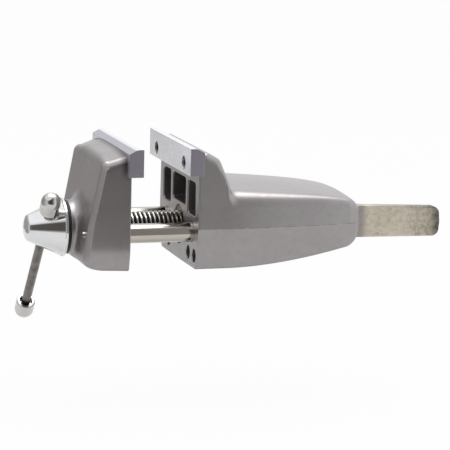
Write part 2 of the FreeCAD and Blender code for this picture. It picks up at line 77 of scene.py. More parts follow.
def roundedLoop(corners, radii, steps=6, guard=0.0):
    # Closed polygon with round corners: an arc starts and ends radius / tan(half the angle) from
    # its corner, and turns between the two spokes of its centre. guard adds a point beyond each
    # end of each arc, which keeps the shading of the flats flat.
    corners = np.asarray(corners, float)
    radii = np.broadcast_to(np.asarray(radii, float), corners.shape[:-1])[..., None]
    back = np.roll(corners, 1, -2) - corners
    ahead = np.roll(corners, -1, -2) - corners
    back = back / np.linalg.norm(back, axis=-1, keepdims=True)
    ahead = ahead / np.linalg.norm(ahead, axis=-1, keepdims=True)
    half = np.arccos(np.clip((back * ahead).sum(-1, keepdims=True), -1, 1)) / 2
    middle = back + ahead
    middle = middle / np.maximum(np.linalg.norm(middle, axis=-1, keepdims=True), 1e-9)
    run = radii / np.tan(half)
    centre = corners + middle * radii / np.sin(half)
    first = (corners + back * run - centre)[..., None, :]
    last = (corners + ahead * run - centre)[..., None, :]
    turn = np.maximum(np.pi - 2 * half, 1e-6)[..., None]
    share = np.linspace(0, 1, steps + 1)[:, None]
    arc = (np.sin((1 - share) * turn) * first + np.sin(share * turn) * last) / np.sin(turn)
    points = centre[..., None, :] + arc
    if guard:
        before = (corners + back * (run + guard))[..., None, :]
        after = (corners + ahead * (run + guard))[..., None, :]
        points = np.concatenate([before, points, after], axis=-2)
    return points.reshape(*corners.shape[:-2], -1, 2)


def divided(path, longest):
    # Open path with each run cut into equal parts no longer than longest
    path = np.asarray(path, float)
    runs = np.linalg.norm(np.diff(path, axis=0), axis=1)
    counts = np.maximum(np.ceil(runs / longest).astype(int), 1)
    place = np.repeat(np.arange(len(runs)), counts)
    within = np.arange(counts.sum()) - np.repeat(np.cumsum(counts) - counts, counts)
    share = (within / counts[place])[:, None]
    points = path[place] * (1 - share) + path[place + 1] * share
    return np.vstack([points, path[-1:]])


def placed(name, data):
    # object that shows the data in the scene
    made = bpy.data.objects.new(name, data)
    bpy.context.scene.collection.objects.link(made)
    return made


def newMesh(name, points, faces):
    # Mesh whose doubled points are merged and whose faces all point outwards
    mesh = bpy.data.meshes.new(name)
    mesh.from_pydata(np.asarray(points).reshape(-1, 3).tolist(), [], faces)
    work = bmesh.new()
    work.from_mesh(mesh)
    bmesh.ops.remove_doubles(work, verts=work.verts, dist=2e-4)
    bmesh.ops.recalc_face_normals(work, faces=work.faces)
    work.to_mesh(mesh)
    work.free()
    return placed(name, mesh)


def gridPiece(name, grid, closedRows=False, caps=True):
    # Surface over a grid of points: rows go along it, columns go round it and are closed.
    # Face (i, j) joins points (i, j), (i, j+1), (i+1, j+1), (i+1, j).
    rows, columns = grid.shape[:2]
    i = np.arange(rows if closedRows else rows - 1)[:, None]
    j = np.arange(columns)[None, :]
    nextI, nextJ = (i + 1) % rows, (j + 1) % columns
    corners = [i * columns + j, i * columns + nextJ, nextI * columns + nextJ, nextI * columns + j]
    faces = np.stack(np.broadcast_arrays(*corners), -1).reshape(-1, 4).tolist()
    if caps and not closedRows:
        faces.append(list(range(columns)))
        faces.append(list(range((rows - 1) * columns, rows * columns)))
    return newMesh(name, grid, faces)


def turnedGrid(profile, start, direction, steps=96):
    # Profile of (distance, radius) turned about the line from start: point = start + distance
    # along the line + radius times (cos, sin) on two axes across it
    profile = np.asarray(profile, float)
    along = np.array(Vector(direction).normalized())
    side = np.cross(along, (0, 0, 1) if abs(along[2]) < 0.9 else (1, 0, 0))
    side = side / np.linalg.norm(side)
    other = np.cross(along, side)
    angle = np.arange(steps) * 2 * np.pi / steps
    round_ = np.cos(angle)[:, None] * side + np.sin(angle)[:, None] * other
    return (np.asarray(start, float) + profile[:, None, :1] * along
            + profile[:, None, 1:] * round_[None])


def turned(name, profile, start, direction, steps=96, closed=False):
    return gridPiece(name, turnedGrid(profile, start, direction, steps), closedRows=closed)


def softened(profile, radii, steps=5):
    # Open profile with its inner corners rounded
    loop = roundedLoop(profile, [1e-3, *radii, 1e-3], steps)
    return loop[steps:-steps]


def slab(name, outline, halfY, edge, steps=5):
    # Flat bar across Y with rounded rims: the outline of (x, z) is drawn in by edge * (1 - cos)
    # while y goes out by edge * sin, and a flat face closes each side
    outline = np.asarray(outline, float)
    tangent = np.roll(outline, -1, 0) - np.roll(outline, 1, 0)
    area = (outline[:, 0] * np.roll(outline[:, 1], -1) - np.roll(outline[:, 0], -1) * outline[:, 1]).sum()
    inward = np.stack([-tangent[:, 1], tangent[:, 0]], -1) * np.sign(area)
    inward = inward / np.linalg.norm(inward, axis=1, keepdims=True)
    turn = np.linspace(np.pi / 2, 0, steps + 1)
    inset = edge * (1 - np.cos(np.concatenate([turn, turn[::-1]])))
    out = halfY - edge + edge * np.sin(turn)
    y = np.concatenate([-out, out[::-1]])
    rows = outline[None] + inward[None] * inset[:, None, None]
    grid = np.stack([rows[..., 0], np.broadcast_to(y[:, None], rows.shape[:2]), rows[..., 1]], -1)
    return gridPiece(name, grid)


def cutBy(piece, cutters, operation="DIFFERENCE"):
    # Boolean of the piece with each cutter, worked out and kept in its mesh
    for cutter in cutters:
        step = piece.modifiers.new("cut", "BOOLEAN")
        step.operation = operation
        step.solver = "EXACT"
        step.object = cutter
    bpy.context.view_layer.update()
    shaped = piece.evaluated_get(bpy.context.evaluated_depsgraph_get())
    mesh = bpy.data.meshes.new_from_object(shaped)
    piece.modifiers.clear()
    piece.data = mesh
    for cutter in cutters:
        bpy.data.objects.remove(cutter)
    return piece


def hole(radius, start, direction, depth, mouth=0.4, steps=64):
    # Drill that rounds the hole's mouth: the radius grows by mouth * (1 - cos) up to the face
    turn = np.linspace(0, 1.45, 5)
    rim = np.stack([mouth * (1 - np.sin(turn)), radius + mouth * (1 - np.cos(turn))], -1)[::-1]
    profile = np.vstack([[(-2, rim[0, 1] + 0.05)], rim, [(depth, radius)]])
    return turned("drill", profile, start, direction, steps)


def finish(piece, body, finishes, replaced=(), angle=32):
    # Moves the mesh to the row frame and gives the piece its shading, materials and body. Large
    # faces lead the normals of the small ones beside them, so that flats look flat.
    mesh = piece.data
    points = np.empty(len(mesh.vertices) * 3)
    mesh.vertices.foreach_get("co", points)
    mesh.vertices.foreach_set("co", toRow(points.reshape(-1, 3)).ravel())
    mesh.update()
    mesh.shade_smooth()
    mesh.set_sharp_from_angle(angle=math.radians(angle))
    mesh.materials.clear()
    for material in finishes:
        mesh.materials.append(material)
    normals = piece.modifiers.new("flatsLead", "WEIGHTED_NORMAL")
    normals.keep_sharp = True
    if replaced:
        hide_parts(*replaced)
    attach(piece, body)
    return piece


def hollowShadeFaces(piece, isInside):
    # Faces whose middle the test calls inside a cored hollow get the second material, which paints shade
    # there
    mesh = piece.data
    centres = np.empty(len(mesh.polygons) * 3)
    mesh.polygons.foreach_get("center", centres)
    inside = isInside(*centres.reshape(-1, 3).T)
    mesh.polygons.foreach_set("material_index", inside.astype(np.int32))


class Wire:
    # An output socket of a material's nodes; arithmetic on it adds Math nodes
    def __init__(self, tree, socket=None):
        self.tree, self.socket = tree, socket

    def node(self, kind, settings=None, inputs=None, output=0):
        made = self.tree.nodes.new(kind)
        for name, value in (settings or {}).items():
            if name == "stops":
                ramp = made.color_ramp
                while len(ramp.elements) < len(value):
                    ramp.elements.new(0.5)
                for element, (place, colour) in zip(ramp.elements, value):
                    element.position = place
                    element.color = colour
            else:
                setattr(made, name, value)
        for name, value in (inputs or {}).items():
            if isinstance(value, Wire):
                self.tree.links.new(value.socket, made.inputs[name])
            else:
                made.inputs[name].default_value = value
        return Wire(self.tree, made.outputs[output])

    def sum(self, operation, first, second):
        return self.node("ShaderNodeMath", {"operation": operation}, {0: first, 1: second})

    def __add__(self, other):
        return self.sum("ADD", self, other)

    def __radd__(self, other):
        return self.sum("ADD", other, self)

    def __sub__(self, other):
        return self.sum("SUBTRACT", self, other)

    def __rsub__(self, other):
        return self.sum("SUBTRACT", other, self)

    def __mul__(self, other):
        return self.sum("MULTIPLY", self, other)

    def __rmul__(self, other):
        return self.sum("MULTIPLY", other, self)

    def away(self, value):
        # distance from a value
        return self.node("ShaderNodeMath", {"operation": "ABSOLUTE"}, {0: self - value})

    def axis(self, name):
        return self.node("ShaderNodeSeparateXYZ", {}, {0: self}, name)

    def span(self, low, high, outLow=0.0, outHigh=1.0):
        # smooth step from outLow at low to outHigh at high
        return self.node("ShaderNodeMapRange", {"interpolation_type": "SMOOTHSTEP"},
                         {"Value": self, "From Min": low, "From Max": high,
                          "To Min": outLow, "To Max": outHigh})

    def noise(self, size, detail=2.0, rough=0.5, stretch=(1, 1, 1)):
        # cloud noise whose lumps are size mm across, from an object position in metres
        spot = self.node("ShaderNodeMapping", {}, {"Vector": self, "Scale": stretch})
        inputs = {"Vector": spot, "Scale": 1000.0 / size, "Detail": detail, "Roughness": rough}
        return spot.node("ShaderNodeTexNoise", {}, inputs, "Fac")

    def blend(self, first, second):
        # colour between two colours, by this value
        return self.node("ShaderNodeMix", {"data_type": "RGBA"}, {0: self, 6: first, 7: second}, 2)


def newMaterial(name):
    material = bpy.data.materials.new(name)
    material.use_nodes = True
    tree = material.node_tree
    shader = tree.nodes["Principled BSDF"]
    place = Wire(tree).node("ShaderNodeTexCoord", {}, {}, "Object")
    return material, tree, shader, place


def connect(tree, shader, **values):
    # links or sets the shader's sockets; an underscore stands for a space
    for name, value in values.items():
        socket = shader.inputs[name.replace("_", " ")]
        if isinstance(value, Wire):
            tree.links.new(value.socket, socket)
        else:
            socket.default_value = value


def bumped(height, depth, strength=1.0, over=None):
    # normal bent by a height of depth mm, on top of an earlier normal where there is one
    inputs = {"Height": height, "Distance": depth * drawing["metresPerMm"], "Strength": strength}
    if over:
        inputs["Normal"] = over
    return height.node("ShaderNodeBump", {}, inputs)


def rgb(red, green, blue):
    return (red, green, blue, 1.0)


# Finishes: places are in metres in the row frame; grain, lumps and radii are in mm
castFinish = {
    "pale": rgb(0.44, 0.418, 0.42), "dark": rgb(0.36, 0.337, 0.32), "mauve": rgb(0.405, 0.372, 0.385),
    # the crease colour paints shade along the parting line; the seat colour paints a shadow beside the front
    # plate's seat and also the dark joint under the rear plate
    "fleck": rgb(0.30, 0.28, 0.275), "shadedCrease": rgb(0.16, 0.145, 0.135), "seat": rgb(0.05, 0.045, 0.06),
    # the core colours paint shade inside the hollows
    "core": (rgb(0.002, 0.002, 0.002), rgb(0.005, 0.004, 0.004)), "coreShine": 0.06, "roughness": 0.36,
    "grain": 0.5, "grainDepth": 0.028, "lumpDepth": 0.10, "lumpStrength": 0.6,
    "seamX": (-0.120, -0.118), "seamZ": 0.0053, "seamHalf": 0.00032,
    "seatShadowX": (-0.1675, -0.1615), "seatShadowEndX": (-0.159, -0.158), "seatShadowZ": (0.036, 0.046),
    "jointX": -0.1145, "jointHalfX": (0.0010, 0.0014), "jointZ": 0.0405, "jointHalfZ": (0.0002, 0.0007),
}


def castAluminium():
    f = castFinish
    material, tree, shader, place = newMaterial("castAluminium")
    grain = place.noise(f["grain"], 3, 0.6)
    patches = place.noise(4.5, 4, 0.65)
    clouds = place.noise(45, 2, 0.5)
    lumps = place.noise(10, 1, 0.4)
    tone = patches.span(0.36, 0.68) * 0.30 + clouds.span(0.35, 0.65) * 0.30 + grain.span(0.3, 0.75) * 0.30
    colour = tone.blend(f["pale"], f["dark"])
    colour = (place.noise(26, 2, 0.5).span(0.45, 0.65) * 0.6).blend(colour, f["mauve"])
    pits = place.noise(0.8, 2, 0.5).span(0.66, 0.76)
    colour = (pits * 0.4).blend(colour, f["fleck"])
    # painted shade along the broken crease of the mould's parting line on the rear casting, whose
    # bump also sinks it as a groove; a painted shadow beside the front plate's seat; and the dark joint
    # under the rear plate
    x, z = place.axis("X"), place.axis("Z")
    gaps = place.noise(2.2, 3, 0.6).span(0.42, 0.56)
    shadedCrease = z.away(f["seamZ"]).span(0.0, f["seamHalf"], 1.0, 0.0) * gaps * x.span(*f["seamX"])
    colour = (shadedCrease * 0.8).blend(colour, f["shadedCrease"])
    # painted shadow on the front casting's side beside the front plate's seat
    seat = x.span(*f["seatShadowX"]) * x.span(*f["seatShadowEndX"], 1.0, 0.0) * z.span(*f["seatShadowZ"])
    joint = (x.away(f["jointX"]).span(*f["jointHalfX"], 1.0, 0.0)
             * z.away(f["jointZ"]).span(*f["jointHalfZ"], 1.0, 0.0))
    colour = (seat * 0.85 + joint * 0.85).blend(colour, f["seat"])
    roughness = f["roughness"] + (patches - 0.5) * 0.10 + (grain - 0.5) * 0.12
    height = grain * 0.6 + pits * -0.5 - shadedCrease * 1.5
    broad = bumped(lumps, f["lumpDepth"], f["lumpStrength"], bumped(height, f["grainDepth"]))
    connect(tree, shader, Base_Color=colour, Roughness=roughness, Normal=broad, Metallic=0.92)
    return material


def castHollowShade():
    # painted shade: a near-black, rough, barely shiny surface for the faces inside the hollows, where shade
    # lies deep
    f = castFinish
    material, tree, shader, place = newMaterial("castHollowShade")
    sand = place.noise(0.8, 3, 0.6)
    colour = place.noise(6, 2).span(0.3, 0.7).blend(*f["core"])
    connect(tree, shader, Base_Color=colour, Roughness=0.7 + sand * 0.2, Normal=bumped(sand, 0.06),
            Metallic=0.0, Specular_IOR_Level=f["coreShine"])
    return material


# the top colour paints a highlight along the plates' tops, and the slope and end colours paint shade on the
# back slope and on the ends
groundFinish = {"pale": rgb(0.96, 0.955, 0.99), "dark": rgb(0.83, 0.815, 0.87), "top": rgb(0.95, 0.95, 0.96),
                "slopeShade": rgb(0.52, 0.50, 0.56), "end": rgb(0.47, 0.437, 0.50), "roughness": 0.30,
                "slopeZ": (0.0560, 0.0563), "topZ": (0.0580, 0.0584), "endY": (0.0504, 0.0508),
                "gapX": -0.137, "slopeX": (0.0165, 0.0180)}


def groundSteel():
    f = groundFinish
    material, tree, shader, place = newMaterial("groundSteel")
    lines = place.noise(0.35, 2, 0.6, (1, 0.03, 1))
    patches = place.noise(5, 3, 0.6)
    specks = place.noise(0.7, 2, 0.5).span(0.62, 0.74)
    colour = (patches.span(0.3, 0.8) * 0.5 + specks * 0.4).blend(f["pale"], f["dark"])
    # painted light: shade on the back slope and on the bar's ends, and a highlight along the top
    height = place.axis("Z")
    shadedSlope = height.span(*f["slopeZ"]) * place.axis("X").away(f["gapX"]).span(*f["slopeX"])
    colour = shadedSlope.blend(colour, f["slopeShade"])
    colour = (height.span(*f["topZ"]) * 0.8).blend(colour, f["top"])
    colour = place.axis("Y").away(0.0).span(*f["endY"]).blend(colour, f["end"])
    roughness = f["roughness"] + (patches - 0.5) * 0.12 + (lines - 0.5) * 0.14
    connect(tree, shader, Base_Color=colour, Roughness=roughness,
            Normal=bumped(lines * 0.7 + patches * 0.3, 0.006), Metallic=0.95)
    return material


rodFinish = {"pale": rgb(0.60, 0.555, 0.495), "dark": rgb(0.48, 0.44, 0.38), "roughness": 0.13}


def polishedRod():
    f = rodFinish
    material, tree, shader, place = newMaterial("polishedRod")
    turning = place.noise(0.5, 2, 0.5, (1, 0.05, 0.05))
    wear = place.noise(9, 3, 0.6, (0.25, 1, 1))
    colour = (wear.span(0.45, 0.75) * 0.5).blend(f["pale"], f["dark"])
    roughness = f["roughness"] + wear.span(0.4, 0.75) * 0.08 + (turning - 0.5) * 0.05
    connect(tree, shader, Base_Color=colour, Roughness=roughness,
            Normal=bumped(turning, 0.0015), Metallic=1.0)
    return material


# the crest colour paints light on the thread's crests and the root colour paints shade in its roots
threadFinish = {"crest": rgb(0.93, 0.91, 0.88), "root": rgb(0.03, 0.027, 0.025), "roughness": 0.26,
                "rootRadius": 7.6, "crestRadius": 8.6}


def threadSteel():
    f = threadFinish
    material, tree, shader, place = newMaterial("threadSteel")
    mm = drawing["metresPerMm"]
    axisZ = (drawing["screwZ"] - drawing["tangAxisZ"]) * mm
    across = place.node("ShaderNodeVectorMath", {"operation": "MULTIPLY"}, {0: place, 1: (0, 1, 1)})
    across = across.node("ShaderNodeVectorMath", {"operation": "SUBTRACT"}, {0: across, 1: (0, 0, axisZ)})
    radius = across.node("ShaderNodeVectorMath", {"operation": "LENGTH"}, {0: across}, "Value")
    # painted light: by radius, the roots go near black as shade and the crests pale
    crest = radius.span(f["rootRadius"] * mm, f["crestRadius"] * mm)
    oil = place.noise(3, 3, 0.6)
    colour = (crest * (0.75 + oil * 0.35)).blend(f["root"], f["crest"])
    roughness = f["roughness"] + (1 - crest) * 0.25 + (oil - 0.5) * 0.1
    connect(tree, shader, Base_Color=colour, Roughness=roughness,
            Normal=bumped(place.noise(0.4, 2), 0.004), Metallic=1.0)
    return material


# painted shade at the tang's root and, in a near-black colour, at the tail's end and along the top edge,
# which also darkens the tail in patches
tangFinish = {"pale": rgb(0.93, 0.845, 0.69), "dark": rgb(0.68, 0.60, 0.48), "speck": rgb(0.15, 0.13, 0.11),
              "shade": rgb(0.36, 0.33, 0.34), "darkening": rgb(0.13, 0.12, 0.10), "roughness": 0.42,
              "rootX": (0.0135, 0.0195), "darkeningX": (0.030, 0.064), "tailX": (0.0615, 0.0708),
              "edgeX": (0.004, 0.030), "edgeZ": (0.0102, 0.0110), "topSlope": 0.0381}


def platedTang():
    f = tangFinish
    material, tree, shader, place = newMaterial("platedTang")
    patches = place.noise(4, 4, 0.65)
    clouds = place.noise(20, 2, 0.5)
    specks = place.noise(1.5, 3, 0.6).span(0.63, 0.72)
    scratches = place.noise(0.8, 2, 0.6, (0.06, 1, 1)).span(0.62, 0.72)
    colour = (patches.span(0.4, 0.68) * 0.6 + clouds.span(0.4, 0.7) * 0.35).blend(f["pale"], f["dark"])
    # painted shade at the root, at the tail's end and along the top edge, and a patchy darkening towards the
    # tail
    x, z = place.axis("X"), place.axis("Z")
    colour = (x.span(*f["rootX"], 1.0, 0.0) * 0.75).blend(colour, f["shade"])
    edge = (z + x * f["topSlope"]).span(*f["edgeZ"]) * x.span(*f["edgeX"])
    darkening = x.span(*f["tailX"]) * 0.65 + x.span(*f["darkeningX"]) * (0.20 + patches.span(0.4, 0.65) * 0.22)
    colour = (darkening + edge * 0.6).blend(colour, f["darkening"])
    colour = (specks * 0.8 + scratches * 0.3).blend(colour, f["speck"])
    roughness = f["roughness"] + (patches - 0.5) * 0.2 + scratches * 0.1
    connect(tree, shader, Base_Color=colour, Roughness=roughness,
            Normal=bumped(patches * 0.5 - specks * 0.5 - scratches * 0.4, 0.02), Metallic=0.45)
    return material


barFinish = {"pale": rgb(0.24, 0.225, 0.21), "dark": rgb(0.155, 0.14, 0.13), "roughness": 0.3}


def darkBar():
    f = barFinish
    material, tree, shader, place = newMaterial("darkBar")
    patches = place.noise(5, 3, 0.6)
    grain = place.noise(0.5, 2, 0.5)
    colour = patches.span(0.35, 0.7).blend(f["pale"], f["dark"])
    roughness = f["roughness"] + (patches - 0.5) * 0.15 + (grain - 0.5) * 0.1
    connect(tree, shader, Base_Color=colour, Roughness=roughness,
            Normal=bumped(grain, 0.004), Metallic=1.0)
    return material


chromeFinish = {"clean": rgb(0.84, 0.84, 0.845), "hazy": rgb(0.74, 0.735, 0.73), "roughness": 0.04}
capFinish = {"clean": rgb(0.66, 0.65, 0.63), "hazy": rgb(0.54, 0.53, 0.51), "roughness": 0.11}


def mirrorChrome(name, f):
    material, tree, shader, place = newMaterial(name)
    haze = place.noise(8, 3, 0.6)
    ripple = place.noise(14, 1, 0.4)
    colour = haze.span(0.45, 0.8).blend(f["clean"], f["hazy"])
    roughness = f["roughness"] + haze.span(0.45, 0.8) * 0.05
    connect(tree, shader, Base_Color=colour, Roughness=roughness,
            Normal=bumped(ripple, 0.02), Metallic=1.0)
    return material


def plainMetal(name, pale, dark, roughness, metallic=1.0, size=3.0, depth=0.004):
    # small turned or drawn parts: two tones of one metal with a fine grain
    material, tree, shader, place = newMaterial(name)
    patches = place.noise(size, 3, 0.6)
    grain = place.noise(0.4, 2, 0.5)
    colour = patches.span(0.35, 0.7).blend(pale, dark)
    connect(tree, shader, Base_Color=colour, Roughness=roughness + (grain - 0.5) * 0.15,
            Normal=bumped(grain, depth), Metallic=metallic)
    return material


materials = {
    "cast_aluminium": castAluminium(),
    "jaw_steel": groundSteel(),
    "rod_steel": polishedRod(),
    "screw_steel": threadSteel(),
    "tang_steel": platedTang(),
    "bar_steel": darkBar(),
    "chrome": mirrorChrome("mirrorChrome", chromeFinish),
    "cap": mirrorChrome("dullChrome", capFinish),
    # very dark bronze for the nut and the bush
    "bronze": plainMetal("darkBronze", rgb(0.20, 0.15, 0.095), rgb(0.11, 0.08, 0.05), 0.38),
    "black_fibre": plainMetal("blackFibre", rgb(0.028, 0.028, 0.03), rgb(0.05, 0.048, 0.046), 0.55,
                              0.0, 1.5, 0.01),
    "fastener_black": plainMetal("blackOxide", rgb(0.09, 0.09, 0.095), rgb(0.16, 0.15, 0.145), 0.36),
    "zinc_steel": plainMetal("zincPlate", rgb(0.70, 0.70, 0.70), rgb(0.56, 0.56, 0.55), 0.26),
}
# painted shade on the walls of the jaw plates' screw recesses
boreShadeMaterial = plainMetal("plateBoreShade", rgb(0.13, 0.12, 0.13), rgb(0.09, 0.085, 0.09), 0.45, 0.6)
# the second finish paints shade on the faces inside the hollows
castAndHollowShade = [materials["cast_aluminium"], castHollowShade()]
print("finishes made:", len(materials))


# The pieces below are in mm on the drawing's axes
rear = {
    "uprightTop": 77.7, "uprightFlatX": 5.5, "topRound": 4.0, "shoulder": (14.6, 72.7), "shoulderRound": 6.0,
    "uprightFoot": (22.5, 52.1), "footHollow": 3.0, "edgeRound": (2.0, 4.5), "bodyRound": 10.5,
    "faceRound": 0.6, "bodyFrontX": 22.0, "joinX": 60.0, "endX": 114.5, "endRound": 8.0,
    "halfWidth": 48.0, "partingZ": 27.5, "upperDraft": 0.022, "footHalf": 42.0, "narrowing": 8.9,
    "liftSide": 13.0, "liftMiddle": 4.5, "liftPower": 1.75, "keelDrop": 0.3, "topZ": 52.2,
    "topFall": 7.0, "topDroop": 3.0, "crown": 1.8, "crownX": (20.5, 26.0), "edgeZ": (60.0, 73.0),
    "roundX": (21.5, 25.0), "roundFall": 6.0, "squareX": (0.5, 3.0), "squareEndX": (22.6, 27.0),
    "partingRound": 0.35, "tailBulge": 2.0, "bulgeX": 106.0, "bulgeHigh": 17.0,
    "plateSeat": ((-5, -60, 62.9), (2.5, 60, 90)), "coreX": (1.0, 91.0), "skin": 2.5,
}


def rearShare(x):
    return np.clip((x - rear["bodyFrontX"]) / (rear["endX"] - rear["bodyFrontX"]), 0, 1)


def rearTop(x):
    share = rearShare(x)
    return rear["topZ"] - rear["topFall"] * share - rear["topDroop"] * share ** 6


def rearInset(x):
    # how far the ends' rounding draws the outline in: radius - sqrt(radius^2 - depth^2)
    near = np.clip(rear["faceRound"] - x, 0, rear["faceRound"])
    far = np.clip(x - rear["endX"] + rear["endRound"], 0, rear["endRound"])
    return (rear["faceRound"] - np.sqrt(rear["faceRound"] ** 2 - near ** 2)
            + rear["endRound"] - np.sqrt(rear["endRound"] ** 2 - far ** 2))


def rearHalf(x, z):
    # half width: narrows towards the tail, and drafts in above and below the parting line
    bend = rearShare(x) ** rear["liftPower"]
    above = rear["upperDraft"] * (z - rear["partingZ"])
    below = (rear["halfWidth"] - rear["footHalf"]) / rear["partingZ"] * (rear["partingZ"] - z)
    draft = np.where(z > rear["partingZ"], above, below)
    return rear["halfWidth"] - rear["narrowing"] * bend - draft - rearInset(x)


def rearOutline():
    # top line in side view, from the front face over the upright to the tail's rounding
    p = rear
    longEnd = p["endX"] - p["endRound"]
    corners = [(0, p["uprightTop"]), (p["uprightFlatX"], p["uprightTop"]), p["shoulder"], p["uprightFoot"],
               (p["joinX"], float(rearTop(p["joinX"])))]
    upright = divided(softened(corners, [p["topRound"], p["shoulderRound"], p["footHollow"]], 8), 2.2)
    front = upright[(upright[:, 0] > p["faceRound"]) & (upright[:, 0] < p["joinX"] - 1)]
    first = p["faceRound"] * (1 - np.cos(np.linspace(0, np.pi / 2, 4)))
    first = np.stack([first, np.full(4, p["uprightTop"])], -1)
    rounded = longEnd + p["endRound"] * np.sin(np.linspace(0.12, np.pi / 2, 12))
    x = np.concatenate([np.linspace(p["joinX"], longEnd, 20), rounded])
    tail = np.stack([x, rearTop(x) - rearInset(x)], -1)
    return np.vstack([first, front, tail])


def rearShell():
    # Each station is a cross-section: keel, foot, parting line, wall, shoulder and crowned top.
    # On the upright the shoulder is drawn square to the top line, and elsewhere upright.
    p = rear
    top = rearOutline()
    x = top[:, 0]
    tangent = np.gradient(top, axis=0)
    tangent = tangent / np.linalg.norm(tangent, axis=1, keepdims=True)
    square = ((1 - ease(x, *p["squareEndX"])) * ease(x, *p["squareX"]))[:, None]
    down = np.stack([tangent[:, 1], -tangent[:, 0]], -1) * square + np.array([0, -1]) * (1 - square)
    down = down / np.linalg.norm(down, axis=1, keepdims=True)
    share = rearShare(x)
    bend = share ** p["liftPower"]
    inset = rearInset(x)
    small, large = p["edgeRound"]
    edge = small + (large - small) * ease(top[:, 1], *p["edgeZ"])
    radius = edge + (p["bodyRound"] - edge) * ease(x, *p["roundX"]) - p["roundFall"] * share
    crown = p["crown"] * ease(x, *p["crownX"])

    # lower half from the keel to the parting line
    footZ = p["liftSide"] * bend + inset
    keelZ = p["liftMiddle"] * bend + inset - p["keelDrop"]
    footHalf = rearHalf(x, footZ)
    parting, high = np.full_like(x, p["partingZ"]), np.full_like(x, 60.0)
    right = [(footHalf, footZ), (rearHalf(x, parting), parting), (rearHalf(x, high), high)]
    left = [(-y, z) for y, z in right[::-1]]
    ring = [(np.zeros_like(x), keelZ), *right, *left]
    corners = np.stack([np.stack(corner, -1) for corner in ring], 1)
    radii = np.array([60, 2, p["partingRound"], 1, 1, p["partingRound"], 2])
    steps = 6
    loop = roundedLoop(corners, radii, steps)
    lower = loop[:, steps // 2:3 * (steps + 1)]
    lowerX = np.broadcast_to(x[:, None], lower.shape[:2])

    # shoulder: an arc of that radius, in Y and square to the top line
    turn = np.linspace(0, np.pi / 2, 9)
    deep = radius[:, None] * (1 - np.sin(turn))
    side = radius[:, None] * (1 - np.cos(turn))
    shoulderX = x[:, None] + down[:, :1] * deep
    shoulderZ = top[:, 1:] + down[:, 1:] * deep
    shoulderY = rearHalf(shoulderX, shoulderZ) - side
    # wall points between the parting line and the shoulder
    rise = np.array([0.02, 0.35, 0.7, 0.97])
    wallX = x[:, None] + (shoulderX[:, :1] - x[:, None]) * rise
    wallZ = lower[:, -1:, 1] + (shoulderZ[:, :1] - lower[:, -1:, 1]) * rise
    wallY = rearHalf(wallX, wallZ)
    # crowned top from the shoulder to the middle
    share = np.array([0.96, 0.8, 0.6, 0.4, 0.2, 0.0])
    topY = shoulderY[:, -1:] * share
    topX = x[:, None] + 0 * topY
    topZ = top[:, 1:] + crown[:, None] * (1 - share ** 2)

    y = np.concatenate([lower[..., 0], wallY, shoulderY, topY], 1)
    z = np.concatenate([lower[..., 1], wallZ, shoulderZ, topZ], 1)
    xs = np.concatenate([lowerX, wallX, shoulderX, topX], 1)
    # the tail's end bulges a little at the parting line
    bulge = np.clip(1 - ((z - p["partingZ"]) / p["bulgeHigh"]) ** 2, 0, 1)
    xs = xs + p["tailBulge"] * ease(xs, p["bulgeX"], p["endX"]) * bulge
    half = np.stack([xs, y, z], -1)
    mirrored = half[:, -2:0:-1] * np.array([1, -1, 1])
    return np.concatenate([half, mirrored], 1)


pockets = {
    "side": (21.0, 39.0, 34.5, 56.5), "middle": (-15.7, 15.7, 38.5, 56.5), "corner": 3.0, "mouth": 0.9,
    "depth": 70.0, "highDepth": 13.0, "bend": (23.0, 45.5), "lowTop": 43.5, "frontDepth": 13.0,
    "floorUp": (2.2, 0.7, 0.0), "floorInset": (0.0, 0.9, 2.2),
}


def pocketGrid(limits, stations, tops, faceX, inward):
    # Cored pocket: a rounded rectangle whose roof drops with depth, and whose mouth is rounded,
    # so that it is wider by mouth * (1 - cos) up to the face
    lowY, highY, lowZ, highZ = limits
    mouth = pockets["mouth"]
    turn = np.linspace(0.12, np.pi / 2, 6)
    depth = np.concatenate([[-2.0], mouth * (1 - np.cos(turn)), stations])
    grow = np.concatenate([[mouth * 0.9], mouth * (1 - np.sin(turn)), np.zeros(len(stations))])
    roof = np.concatenate([np.full(7, highZ), tops])
    low = np.full(len(depth), lowZ)
    grow[-3:] -= pockets["floorInset"]
    corners = np.stack([
        np.stack([lowY - grow, low - grow], -1), np.stack([highY + grow, low - grow], -1),
        np.stack([highY + grow, roof + grow], -1), np.stack([lowY - grow, roof + grow], -1)], 1)
    loop = roundedLoop(corners, pockets["corner"] * np.ones(4), 6)
    x = faceX + inward * depth
    return np.concatenate([np.broadcast_to(x[:, None, None], loop.shape[:2] + (1,)), loop], -1)


def floorStations(depth):
    # the last three stations, which round the pocket's floor
    return [depth - up for up in pockets["floorUp"]]


def rearPocket(limits):
    p = pockets
    highZ = limits[3]
    stations = np.array([p["highDepth"] - 1, p["highDepth"], p["highDepth"] + 1, 18, 22, 24, 28, 40,
                         *floorStations(p["depth"])])
    tops = np.interp(stations, [0, p["highDepth"], p["bend"][0], p["depth"]],
                     [highZ, highZ, p["bend"][1], p["lowTop"]])
    return gridPiece("core", pocketGrid(limits, stations, tops, 0.0, 1))


def frontPocket(limits):
    stations = np.array([4, *floorStations(pockets["frontDepth"])])
    return gridPiece("core", pocketGrid(limits, stations, np.full(4, limits[3]), front["backX"], -1))


def threeOf(make):
    low, high, floor, roof = pockets["side"]
    return [make((low, high, floor, roof)), make((-high, -low, floor, roof)), make(pockets["middle"])]


